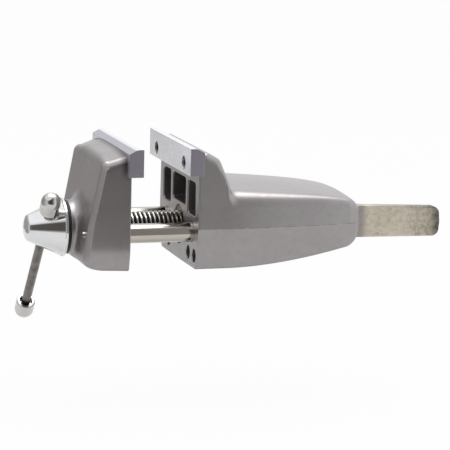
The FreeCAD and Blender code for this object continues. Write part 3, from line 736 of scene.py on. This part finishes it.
def boxCutter(low, high):
    low, high = np.array(low, float), np.array(high, float)
    loop = np.array([(low[1], low[2]), (high[1], low[2]), (high[1], high[2]), (low[1], high[2])])
    x = np.array([low[0], high[0]])
    grid = np.concatenate([np.broadcast_to(x[:, None, None], (2, 4, 1)),
                           np.broadcast_to(loop, (2, 4, 2))], -1)
    return gridPiece("block", grid)


rods = {"radius": 6.35, "y": 31.35, "frontX": -66.0, "rearX": 50.0, "chamfer": 1.0, "bore": 6.4,
        "boreDepth": 84.0}

holes = {"lowRadius": 4.45, "lowY": (24.05, 37.9), "lowZ": 8.7, "lowDepth": 18.0, "tunnel": 13.0,
         "tunnelDepth": 90.0, "lockX": 14.0, "lockRadius": 3.05, "lockDepth": 13.0, "pinX": (98.0, 107.0),
         "pinRadius": 2.55, "pinDepth": 24.0, "screw": (10.2, 7.4), "bush": (9.0, 25.5)}


def makeRearCasting():
    body = gridPiece("rearCasting", rearShell())
    h = holes
    cutters = threeOf(rearPocket)
    cutters.append(boxCutter(*rear["plateSeat"]))
    forward, up = (1, 0, 0), (0, 0, 1)
    for side in (-1, 1):
        mouth = (0, side * rods["y"], drawing["screwZ"])
        cutters.append(hole(rods["bore"], mouth, forward, rods["boreDepth"], 0.5))
        for y in h["lowY"]:
            cutters.append(hole(h["lowRadius"], (0, side * y, h["lowZ"]), forward, h["lowDepth"], 0.5, 48))
    cutters.append(hole(h["tunnel"], (0, 0, drawing["screwZ"]), forward, h["tunnelDepth"], 0.6))
    cutters.append(hole(h["lockRadius"], (h["lockX"], 0, -rear["keelDrop"]), up, h["lockDepth"], 0.4, 40))
    for x in h["pinX"]:
        keel = rear["liftMiddle"] * float(rearShare(x)) ** rear["liftPower"] - rear["keelDrop"]
        cutters.append(hole(h["pinRadius"], (x, 0, keel), up, h["pinDepth"], 0.3, 40))
    cutBy(body, cutters)
    outline = rearOutline()

    def cored(x, y, z):
        # behind the front face and deeper than the skin under every other one
        lowX, highX = rear["coreX"]
        roof = np.interp(x, outline[:, 0], outline[:, 1]) - rear["skin"]
        floor = rear["skin"] + rear["liftMiddle"] * rearShare(x)
        wall = rearHalf(x, z) - np.abs(y)
        return (x > lowX) & (x < highX) & (wall > rear["skin"]) & (z < roof) & (z > floor)

    # faces inside the hollows get the painted shade
    hollowShadeFaces(body, cored)
    return finish(body, "fixed_body", castAndHollowShade, ["rear_casting"], 30)


makeRearCasting()
print("rear casting made")


front = {
    "backX": -44.6, "backHalf": 45.9, "noseX": -78.0, "noseHalf": 38.9, "footZ": 0.3, "footLean": 3.0,
    "footLeanZ": 13.0, "footRound": 2.5, "roofBackZ": 79.2, "roofSlope": 0.33, "roofCrown": 2.2,
    "roofFlat": 0.45, "sideRound": 5.6, "noseRound": (8.0, 5.0), "noseY": (12.0, 36.0), "bevel": 3.0,
    "bevelRound": 2.4, "backEdge": 0.5, "cornerPasses": 24, "lineRounds": (60, 5, 14),
    "line": ((-62.3, 73.3), (-71.1, 29.0), (-73.6, 4.2), (-66.5, 0.3)),
    "plateSeat": ((-47.5, -60, 62.9), (-30, 60, 95)),
    "coreX": -59.0, "coreHalf": 40.0, "coreZ": (10.0, 58.0),
    "bossRadius": 17.9, "bossX": -76.8, "bossRim": 0.6, "bossEndX": -60.0, "flareWidth": 8.5,
    "flareShare": 0.84,
}


def frontHalf(x):
    f = front
    return f["backHalf"] + (f["noseHalf"] - f["backHalf"]) * (f["backX"] - x) / (f["backX"] - f["noseX"])


def frontRoof(x, y):
    # roof that slopes forward, flat in the middle and falling to both sides
    f = front
    half = frontHalf(x)
    fall = softRamp(np.abs(y) - f["roofFlat"] * half, 2.0) / ((1 - f["roofFlat"]) * half)
    return f["roofBackZ"] - f["roofSlope"] * (f["backX"] - x) - f["roofCrown"] * np.minimum(fall, 1.05)


def frontLine():
    # front face's line in side view, from the chin up past the roof, as x against z
    f = front
    (topX, topZ), (bendX, bendZ) = f["line"][:2]
    over = 0.2
    corners = [(-50, f["footZ"]), f["line"][3], f["line"][2], f["line"][1],
               (topX + (topX - bendX) * over, topZ + (topZ - bendZ) * over)]
    path = softened(corners, [f["lineRounds"][2], f["lineRounds"][1], f["lineRounds"][0]], 8)
    line = divided(path, 2.5)
    return line[np.searchsorted(line[:, 1], f["footZ"] + 1e-6) - 1:]


def frontFace(z):
    # x of the front face's line at height z
    line = frontLine()
    return np.interp(z, line[:, 1], line[:, 0])


def frontPlan(faceX):
    # Closed loop of (x, y) for each level, with the face at faceX: back, side, bevel, face, bevel
    # and side, each cut into equal parts between round corners
    f = front
    bevelX = faceX + f["bevel"]
    backX = np.full_like(faceX, f["backX"])
    right = [(backX, frontHalf(backX)), (bevelX, frontHalf(bevelX)), (faceX, frontHalf(faceX) - f["bevel"])]
    corners = [np.stack(corner, -1) for corner in right]
    corners += [corner * np.array([1, -1]) for corner in corners[::-1]]
    radii = np.array([f["backEdge"], f["bevelRound"], f["bevelRound"]])
    steps = 5
    arcs = roundedLoop(np.stack(corners, 1), np.concatenate([radii, radii[::-1]]), steps)
    arcs = arcs.reshape(len(faceX), 6, steps + 1, 2)
    parts = []
    for corner, count in enumerate((12, 2, 28, 2, 12, 28)):
        share = np.linspace(0, 1, count + 2)[1:-1, None]
        first = arcs[:, corner, -1, None]
        last = arcs[:, (corner + 1) % 6, 0, None]
        parts += [arcs[:, corner], first * (1 - share) + last * share]
    return np.concatenate(parts, 1)


def frontShell():
    # Levels from the foot to the roof's rim: each is a plan whose face follows the front line,
    # whose sides lean in at the foot, and whose height at each point is a share of the rim's. The
    # rim turns in by an arc between wall and roof, and the roof closes on its middle.
    f = front
    line = frontLine()
    (topX, topZ), (bendX, bendZ) = f["line"][:2]
    faceWay = np.array((topX - bendX, topZ - bendZ))
    faceWay = faceWay / np.linalg.norm(faceWay)
    roofWay = np.array((1.0, f["roofSlope"])) / math.hypot(1, f["roofSlope"])

    top = frontPlan(np.array([topX]))[0]
    share = np.clip((f["backX"] - top[:, 0]) / (f["backX"] - topX), 0, 1)
    atFace = ease(share, 1 - (f["bevel"] + 0.6) / (f["backX"] - topX), 0.995)

    # nose: where the face's line meets the roof at each y, and the arc between the two
    y = top[:, 1]
    cornerX = np.full_like(y, topX)
    for _ in range(4):
        cornerZ = frontRoof(cornerX, y)
        cornerX = topX + (cornerZ - topZ) * faceWay[0] / faceWay[1]
    corner = np.stack([cornerX, cornerZ], -1)
    middle, end = f["noseRound"]
    radius = middle + (end - middle) * ease(np.abs(y), *f["noseY"])
    triangle = np.stack([corner - 40 * faceWay, corner, corner + 40 * roofWay], 1)
    steps = 10
    radii = np.stack([0 * radius + 1, radius, 0 * radius + 1], -1)
    nose = roundedLoop(triangle, radii, steps).reshape(len(y), 3, steps + 1, 2)[:, 1]
    nose = nose.transpose(1, 0, 2)
    noseX = nose[..., 0] + (top[:, 0] - topX)

    # side: the same turn as a quarter circle that goes in across Y
    turn = np.linspace(0, np.pi / 2, steps + 1)[:, None]
    sideY = y * (1 - f["sideRound"] * (1 - np.cos(turn)) / frontHalf(top[:, 0]))
    sideZ = frontRoof(top[:, 0], y) - f["sideRound"] * (1 - np.sin(turn))
    rimX = top[:, 0] * (1 - atFace) + noseX * atFace
    rimY = sideY * (1 - atFace) + y * atFace
    rimZ = sideZ * (1 - atFace) + nose[..., 1] * atFace
    rimGrid = np.stack([rimX, rimY, rimZ], -1)
    meeting = 2 * np.sqrt(atFace * (1 - atFace))
    soften = (meeting * ease(np.arange(steps + 1) / steps, 0, 0.6)[:, None])[..., None]
    for _ in range(f["cornerPasses"]):
        between = (np.roll(rimGrid, 1, 1) + np.roll(rimGrid, -1, 1)) / 2
        rimGrid = rimGrid + (between - rimGrid) * soften
    rimX, rimY, rimZ = np.moveaxis(rimGrid, -1, 0)

    # walls
    levels = np.append(line[line[:, 1] < rimZ[0].max() - 1.5][:, 1], rimZ[0].max())
    rise = (levels - f["footZ"]) / (levels[-1] - f["footZ"])
    levelX = frontFace(levels)
    walls = frontPlan(levelX)
    z = f["footZ"] + rise[:, None] * (rimZ[0] - f["footZ"])
    faceShare = np.clip((f["backX"] - walls[..., 0]) / (f["backX"] - levelX[:, None]), 0, 1)
    x = walls[..., 0] + (frontFace(z) - levelX[:, None]) * faceShare
    lean = f["footLean"] / (f["footLeanZ"] - f["footZ"]) * softRamp(f["footLeanZ"] - z, 2.5)
    depth = np.clip(f["footRound"] - (z - f["footZ"]), 0, f["footRound"])
    lean = lean + f["footRound"] - np.sqrt(f["footRound"] ** 2 - depth ** 2)
    wallGrid = np.stack([x, walls[..., 1] * (1 - lean / frontHalf(x)), z], -1)

    # the roof closes on a point, the foot on its middle
    centreX = (f["backX"] + topX) / 2
    drawIn = np.array([0.97, 0.9, 0.8, 0.7, 0.6, 0.5, 0.4, 0.3, 0.2, 0.1, 0.0])[:, None]
    roofX = centreX + (rimX[-1] - centreX) * drawIn
    roofY = rimY[-1] * drawIn
    roofGrid = np.stack([roofX, roofY, frontRoof(roofX, roofY)], -1)
    roofGrid[..., 2] += (rimZ[-1] - frontRoof(rimX[-1], rimY[-1])) * drawIn ** 8
    first = wallGrid[0]
    drawIn = np.array([0.0, 0.5, 0.96])[:, None]
    footX = centreX + (first[:, 0] - centreX) * drawIn
    footGrid = np.stack([footX, first[:, 1] * drawIn, np.full_like(footX, f["footZ"])], -1)
    return np.concatenate([footGrid, wallGrid, rimGrid[1:], roofGrid])


def bossGrid(steps=128):
    # Turned boss whose foot runs out in the leaning face: a point at turn t of the hollow lies
    # width * (1 - cos t) outside the boss, and depth * (1 - sin t) in front of the face, where
    # depth is a share of the boss's height over the face at that angle round the screw
    f = front
    screwZ = drawing["screwZ"]
    angle = np.arange(steps) * 2 * np.pi / steps
    rise = np.sin(angle)[None]
    arc = np.linspace(0, np.pi / 2, 6)[:, None]
    rim = f["bossRadius"] - f["bossRim"] * (1 - np.sin(arc)) + 0 * rise
    rimX = f["bossX"] + f["bossRim"] * (1 - np.cos(arc)) + 0 * rise
    depth = f["flareShare"] * (frontFace(screwZ + f["bossRadius"] * rise) - f["bossX"] - f["bossRim"])
    turn = np.linspace(0, 1.5, 16)[:, None]
    foot = f["bossRadius"] + f["flareWidth"] * (1 - np.cos(turn)) + 0 * rise
    footX = frontFace(screwZ + foot * rise) - depth * (1 - np.sin(turn))
    inside = np.full((2, 1), f["bossEndX"]) + 0 * rise
    tip = np.full((1, steps), 0.01)
    radius = np.concatenate([tip, rim, foot, foot[-1:] + 0.2, tip])
    x = np.concatenate([np.full((1, steps), f["bossX"]), rimX, footX, inside])
    return np.stack([x, radius * np.cos(angle), screwZ + radius * rise], -1)


def makeFrontCasting():
    body = gridPiece("frontCasting", frontShell(), caps=False)
    boss = gridPiece("boss", bossGrid(), caps=False)
    # the boss's hollow stops at the casting's foot
    cutBy(boss, [boxCutter((-90, -60, -20), (-40, 60, front["footZ"] + 0.02))])
    cutBy(body, [boss], "UNION")
    cutters = threeOf(frontPocket)
    cutters.append(boxCutter(*front["plateSeat"]))
    radius, depth = holes["screw"]
    cutters.append(hole(radius, (front["backX"], 0, drawing["screwZ"]), (-1, 0, 0), depth, 0.5))
    radius, depth = holes["bush"]
    cutters.append(hole(radius, (front["bossX"], 0, drawing["screwZ"]), (1, 0, 0), depth, 0.3))
    cutBy(body, cutters)
    lowZ, highZ = front["coreZ"]
    # faces inside the hollows get the painted shade
    hollowShadeFaces(body, lambda x, y, z: (x < front["backX"] - 1.0) & (x > front["coreX"])
             & (np.abs(y) < front["coreHalf"]) & (z > lowZ) & (z < highZ))
    return finish(body, "moving_jaw", castAndHollowShade, ["front_casting"], 30)


makeFrontCasting()
print("front casting made")


plate = {"rearX": -7.0, "frontX": -38.0, "half": 51.0, "low": 62.9, "high": 80.9, "backHigh": 78.2,
         "thick": 9.5, "topFlat": 4.4, "topRound": 5.0, "backRound": 0.8, "edge": 0.15,
         "screwY": 33.9, "screwZ": 69.6, "recess": 4.5, "recessDepth": 6.0}


def makePlate(name, faceX, inward, body, node):
    p = plate
    corners = [(faceX, p["low"]), (faceX + inward * p["thick"], p["low"]),
               (faceX + inward * p["thick"], p["backHigh"]), (faceX + inward * p["topFlat"], p["high"]),
               (faceX, p["high"])]
    outline = roundedLoop(corners, [p["edge"], p["edge"], p["backRound"], p["topRound"], p["edge"]], 6, 0.4)
    piece = slab(name, outline, p["half"], p["edge"])
    cutters = []
    for y in (-p["screwY"], p["screwY"]):
        cutters.append(hole(p["recess"], (faceX, y, p["screwZ"]), (inward, 0, 0), p["recessDepth"], 0.25))
    cutBy(piece, cutters)
    # the recess walls get the painted shade
    hollowShadeFaces(piece, lambda x, y, z: (np.hypot(np.abs(y) - p["screwY"], z - p["screwZ"]) < p["recess"] + 0.02)
             & (np.abs(x - faceX) > 0.1))
    return finish(piece, body, [materials["jaw_steel"], boreShadeMaterial], [node], 30)


makePlate("rearJawPlate", plate["rearX"], 1, "fixed_body", "rear_jaw_plate")
makePlate("frontJawPlate", plate["frontX"], -1, "moving_jaw", "front_jaw_plate")
print("jaw plates made")


tang = {"half": 4.0, "innerX": 92.0, "endX": 185.29, "rootLow": 11.0, "rootHigh": 33.4, "endLow": 10.3,
        "endHigh": 30.7, "bulge": 0.8, "corner": 5.0, "endRound": 20.0, "edge": 0.8, "shoulderX": 114.7}


def makeTang():
    # outline from inside the casting to the bulged end; its edges keep the line from root to end
    t = tang
    share = (t["innerX"] - t["shoulderX"]) / (t["endX"] - t["shoulderX"])
    low = t["rootLow"] + (t["endLow"] - t["rootLow"]) * share
    high = t["rootHigh"] + (t["endHigh"] - t["rootHigh"]) * share
    middle = (t["endLow"] + t["endHigh"]) / 2
    corners = [(t["innerX"], low), (t["endX"], t["endLow"]), (t["endX"] + t["bulge"], middle),
               (t["endX"], t["endHigh"]), (t["innerX"], high)]
    outline = roundedLoop(corners, [1.2, t["corner"], t["endRound"], t["corner"], 1.2], 8)
    piece = slab("tangBar", outline, t["half"], t["edge"])
    return finish(piece, "fixed_body", [materials["tang_steel"]], ["tang"], 35)


makeTang()
print("tang made")


def makeRod(name, side, node):
    r = rods
    length = r["rearX"] - r["frontX"]
    profile = softened([(0, 0), (0, r["radius"]), (length - r["chamfer"], r["radius"]),
                        (length, r["radius"] - r["chamfer"]), (length, 0)], [0.2, 0.15, 0.15], 3)
    piece = turned(name, profile, (r["frontX"], side * r["y"], drawing["screwZ"]), (1, 0, 0), 96)
    return finish(piece, "moving_jaw", [materials["rod_steel"]], [node])


makeRod("leftGuideRod", 1, "left_guide_rod")
makeRod("rightGuideRod", -1, "right_guide_rod")

screw = {"crest": 9.0, "root": 7.4, "pitch": 3.0, "mouth": 2.2, "floor": 1.0, "frontX": -51.9, "rearX": 52.0,
         "runout": 1.0, "fade": (0.6, 2.2), "journal": 7.0, "journalX": -98.0, "journalEnd": 6.6}


def makeLeadScrew():
    # The groove's centre moves one pitch for each turn, right-handed: radius depends on
    # x / pitch - angle / turn, with straight flanks between the crest and the root.
    s = screw
    steps = 72
    angle = np.arange(steps) * 2 * np.pi / steps
    x = np.arange(s["frontX"], s["rearX"] + 0.01, s["pitch"] / 12)
    phase = (x[:, None] - s["frontX"] - s["runout"]) / s["pitch"] - angle / (2 * np.pi)
    distance = np.abs(phase - np.round(phase)) * s["pitch"]
    flank = np.clip((distance - s["floor"] / 2) / (s["mouth"] / 2 - s["floor"] / 2), 0, 1)
    near, far = s["fade"]
    fade = ease(x, s["frontX"] + near, s["frontX"] + far)
    fade = fade * (1 - ease(x, s["rearX"] - far, s["rearX"] - near))
    radius = s["crest"] - (s["crest"] - s["root"]) * (1 - flank) * fade[:, None]
    y = radius * np.cos(angle)
    z = drawing["screwZ"] + radius * np.sin(angle)
    thread = np.stack([np.broadcast_to(x[:, None], radius.shape), y, z], -1)

    def ring(atX, r):
        across = [np.full(steps, atX), r * np.cos(angle), drawing["screwZ"] + r * np.sin(angle)]
        return np.stack(across, -1)[None]

    grid = np.concatenate([
        ring(s["journalX"], s["journalEnd"]), ring(s["journalX"] + 0.4, s["journal"]),
        ring(s["frontX"] - 0.05, s["journal"]), ring(s["frontX"], s["journal"] + 0.1),
        ring(s["frontX"], s["crest"] - 0.3), thread[1:-1], ring(s["rearX"], s["crest"] - 0.3)])
    piece = gridPiece("leadScrew", grid)
    cutBy(piece, [barDrill(40, 48)])
    return finish(piece, "screw", [materials["screw_steel"]], ["lead_screw"], 40)


hub = {"rearX": -79.2, "rim": 19.5, "rimWidth": 1.6, "step": 0.4, "cone": 18.9, "coneEnd": (-103.0, 8.6),
       "nose": ((-103.9, 7.6), (-105.0, 4.4)), "endX": -105.5, "setScrewX": -85.0, "setScrew": 3.0}

washer = {"frontX": -79.1, "inner": 7.3, "outer": 17.7, "thick": 2.3, "grooveX": 1.15, "grooveHalf": 0.2,
          "grooveDepth": 0.25}

bar = {"x": -91.2, "tilt": 42.7, "radius": 3.0, "hole": 3.05, "upper": -27.3, "lower": 92.8,
       "cap": 6.495, "capLength": 15.7, "capRim": 0.7, "recess": 4.3, "recessDepth": 3.5,
       "upperCap": 17.4, "lowerCap": 82.8}


def barDirection():
    tilt = math.radians(bar["tilt"])
    return np.array((0, math.sin(tilt), -math.cos(tilt)))


def barPoint(distance):
    return np.array((bar["x"], 0, drawing["screwZ"])) + barDirection() * distance


def barDrill(reach, steps):
    # drill for the bar's hole, which reaches as far to either side of the screw
    profile = [(0, bar["hole"]), (2 * reach, bar["hole"])]
    return turned("drill", profile, barPoint(-reach), barDirection(), steps)


def makeHub():
    h = hub
    points = [(h["rearX"], 0), (h["rearX"], h["rim"]), (h["rearX"] - h["rimWidth"], h["rim"]),
              (h["rearX"] - h["rimWidth"] - h["step"], h["cone"]), h["coneEnd"], *h["nose"], (h["endX"], 0)]
    points = [(h["rearX"] - x, r) for x, r in points]
    profile = softened(points, [0.35, 0.35, 0.15, 0.9, 0.6, 1.2], 5)
    profile = divided(profile, 1.6)
    piece = turned("screwHub", profile, (h["rearX"], 0, drawing["screwZ"]), (-1, 0, 0), 192)
    across = np.cross(barDirection(), (-1, 0, 0))
    across = across if across[2] > 0 else -across
    profile = [(0, h["setScrew"]), (30, h["setScrew"])]
    setHole = turned("drill", profile, (h["setScrewX"], 0, drawing["screwZ"]), across, 48)
    cutBy(piece, [barDrill(45, 64), setHole])
    return finish(piece, "screw", [materials["chrome"]], ["screw_hub"], 35)


def makeWasher():
    # black ring with a fine groove round its rim
    w = washer
    corners = [(0, w["inner"]), (w["thick"], w["inner"]), (w["thick"], w["outer"]),
               (w["grooveX"] + w["grooveHalf"], w["outer"]), (w["grooveX"], w["outer"] - w["grooveDepth"]),
               (w["grooveX"] - w["grooveHalf"], w["outer"]), (0, w["outer"])]
    profile = roundedLoop(corners, [0.1, 0.1, 0.3, 0.05, 0.05, 0.05, 0.3], 3)
    piece = turned("thrustWasher", profile, (w["frontX"], 0, drawing["screwZ"]), (1, 0, 0), 128, True)
    return finish(piece, "moving_jaw", [materials["black_fibre"]], ["thrust_washer"])


def makeBar():
    b = bar
    length = b["lower"] - b["upper"]
    profile = softened([(0, 0), (0, b["radius"]), (length, b["radius"]), (length, 0)], [0.5, 0.5], 4)
    piece = turned("tommyBar", profile, barPoint(b["upper"]), barDirection(), 64)
    return finish(piece, "tommy_bar", [materials["bar_steel"]], ["tommy_bar"])


def makeCap(name, inner, outward, node):
    # bullet: recess floor, recess wall, rim, straight barrel, half sphere
    b = bar
    straight = b["capLength"] - b["cap"]
    corners = [(b["recessDepth"], 0), (b["recessDepth"], b["recess"]), (0, b["recess"]), (0, b["cap"] - 0.1),
               (straight, b["cap"])]
    start = softened(corners, [0.6, 0.35, b["capRim"] + 0.3], 6)
    turn = np.linspace(0, np.pi / 2, 24)
    dome = np.stack([straight + b["cap"] * np.sin(turn), b["cap"] * np.cos(turn)], -1)
    profile = np.vstack([start[:-1], [(straight - 0.5, b["cap"])], dome])
    piece = turned(name, profile, barPoint(inner * outward), barDirection() * outward, 128)
    return finish(piece, "tommy_bar", [materials["cap"]], [node], 35)


makeLeadScrew()
makeHub()
makeWasher()
makeBar()
makeCap("upperBarCap", bar["upperCap"], -1, "upper_bar_cap")
makeCap("lowerBarCap", bar["lowerCap"], 1, "lower_bar_cap")
print("screw, hub and tommy bar made")


# nodes that keep their CAD shape, by finish
keptNodes = {
    "fastener_black": ("rear_jaw_plate_screws", "front_jaw_plate_screws", "nut_lock_screw", "hub_set_screw"),
    "bronze": ("lead_nut", "screw_bush"),
    "zinc_steel": ("tang_pins", "rod_grub_screws", "stop_washer", "stop_screw"),
}
for slotName, names in keptNodes.items():
    for name in names:
        nodes[name].data.materials.clear()
        nodes[name].data.materials.append(materials[slotName])
print("kept nodes dressed:", sum(len(names) for names in keptNodes.values()))


# studio, in metres; the room and wall spans are parts of a direction of length 1
studio = {
    "floorDrop": 0.04, "floorLow": (-0.46, -0.40), "floorHigh": (7.0, 13.0),
    "floorColour": rgb(0.62, 0.62, 0.62), "floorGlow": 0.96, "floorMirror": 0.32,
    "sky": rgb(0.97, 0.985, 1.0), "room": rgb(0.086, 0.077, 0.072), "side": rgb(0.35, 0.337, 0.33),
    "roomDepth": (-0.42, -0.12), "roomFoot": (-0.54, -0.30), "footLean": 0.36, "roomRoof": (0.68, 0.86),
    "roofLean": 0.53, "roomRight": (0.0, 0.82), "roomLeft": (-0.86, -0.60),
    "wallAcross": (-0.45, 0.20), "wallHeight": (0.35, 0.75), "wallDepth": (-0.80, 0.50), "wallShare": 0.35,
    "keyPower": 12.5, "keySize": (1.4, 1.05), "keyPlace": (0.05, 0.25, 1.45), "keyTarget": (-0.12, 0, 0.0),
}


def makeFloor():
    s = studio
    (lowX, lowY), (highX, highY) = s["floorLow"], s["floorHigh"]
    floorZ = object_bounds()[0][2] - s["floorDrop"]
    corners = ((lowX, lowY), (highX, lowY), (highX, highY), (lowX, highY))
    mesh = bpy.data.meshes.new("studioFloor")
    mesh.from_pydata([(x, y, floorZ) for x, y in corners], [], [[0, 1, 2, 3]])
    floor = placed("studioFloor", mesh)
    material, tree, shader, place = newMaterial("paleFloor")
    connect(tree, shader, Base_Color=s["floorColour"], Roughness=0.9)
    seen, mirrored, through = (place.node("ShaderNodeLightPath", {}, {}, "Is " + ray + " Ray")
                               for ray in ("Camera", "Glossy", "Transmission"))
    glow = place.node("ShaderNodeEmission", {}, {"Color": rgb(1, 1, 1), "Strength": 1.0})
    surface = Wire(tree, shader.outputs[0])
    share = (seen + through) * s["floorGlow"] + mirrored * s["floorMirror"]
    mixed = place.node("ShaderNodeMixShader", {}, {0: share, 1: surface, 2: glow})
    tree.links.new(mixed.socket, tree.nodes["Material Output"].inputs["Surface"])
    mesh.materials.append(material)


def makeWorld():
    # White behind the object and all round it in reflections, but for a darker room in front: its
    # share is a step of how far a direction points forwards, times one that ends it low at the left
    s = studio
    world = bpy.data.worlds.new("studio")
    bpy.context.scene.world = world
    world.use_nodes = True
    tree = world.node_tree
    start = Wire(tree)
    way = start.node("ShaderNodeTexCoord", {}, {}, "Generated")
    across, depth, height = (way.axis(name) for name in "XYZ")
    room = (depth.span(*s["roomDepth"], 1.0, 0.0) * (height + across * s["footLean"]).span(*s["roomFoot"])
            * (height - across * s["roofLean"]).span(*s["roomRoof"], 1.0, 0.0)
            * across.span(*s["roomRight"], 1.0, 0.0) * across.span(*s["roomLeft"]))
    wall = (across.span(*s["wallAcross"], 1.0, 0.0) * height.span(*s["wallHeight"], 1.0, 0.0)
            * depth.span(*s["wallDepth"], s["wallShare"], 1.0))
    colour = room.blend(wall.blend(s["sky"], s["side"]), s["room"])
    camera = start.node("ShaderNodeLightPath", {}, {}, "Is Camera Ray")
    shown = camera.blend(colour, rgb(1, 1, 1))
    tree.links.new(shown.socket, tree.nodes["Background"].inputs["Color"])
    tree.nodes["Background"].inputs["Strength"].default_value = 1.0


def areaLight(name, place, size, power, target):
    light = bpy.data.lights.new(name, "AREA")
    light.shape = "RECTANGLE"
    light.size, light.size_y = size
    light.energy = power
    lamp = placed(name, light)
    lamp.location = place
    lamp.rotation_euler = (Vector(target) - Vector(place)).to_track_quat("-Z", "Y").to_euler()
    return lamp


view = {"azimuth": -17.019, "elevation": 10.104, "roll": 1.46, "lens": 183.78,
        "place": (-0.526955, -1.453841, 0.270026)}


def makeCamera():
    # axes from azimuth and elevation, then turned by the roll
    azimuth, elevation, roll = (math.radians(view[k]) for k in ("azimuth", "elevation", "roll"))
    back = Vector((math.sin(azimuth) * math.cos(elevation), -math.cos(azimuth) * math.cos(elevation),
                   math.sin(elevation)))
    right = Vector((math.cos(azimuth), math.sin(azimuth), 0))
    up = back.cross(right)
    right, up = right * math.cos(roll) + up * math.sin(roll), up * math.cos(roll) - right * math.sin(roll)
    data = bpy.data.cameras.new("camera")
    data.lens = view["lens"]
    data.sensor_width = 36.0
    data.clip_end = 100.0
    camera = placed("camera", data)
    turn = Matrix((right, up, back)).transposed().to_4x4()
    turn.translation = Vector(view["place"])
    camera.matrix_world = turn
    bpy.context.scene.camera = camera


makeFloor()
makeWorld()
areaLight("keyLight", studio["keyPlace"], studio["keySize"], studio["keyPower"], studio["keyTarget"])
makeCamera()
bpy.context.scene.view_settings.view_transform = "Standard"
print("studio made")
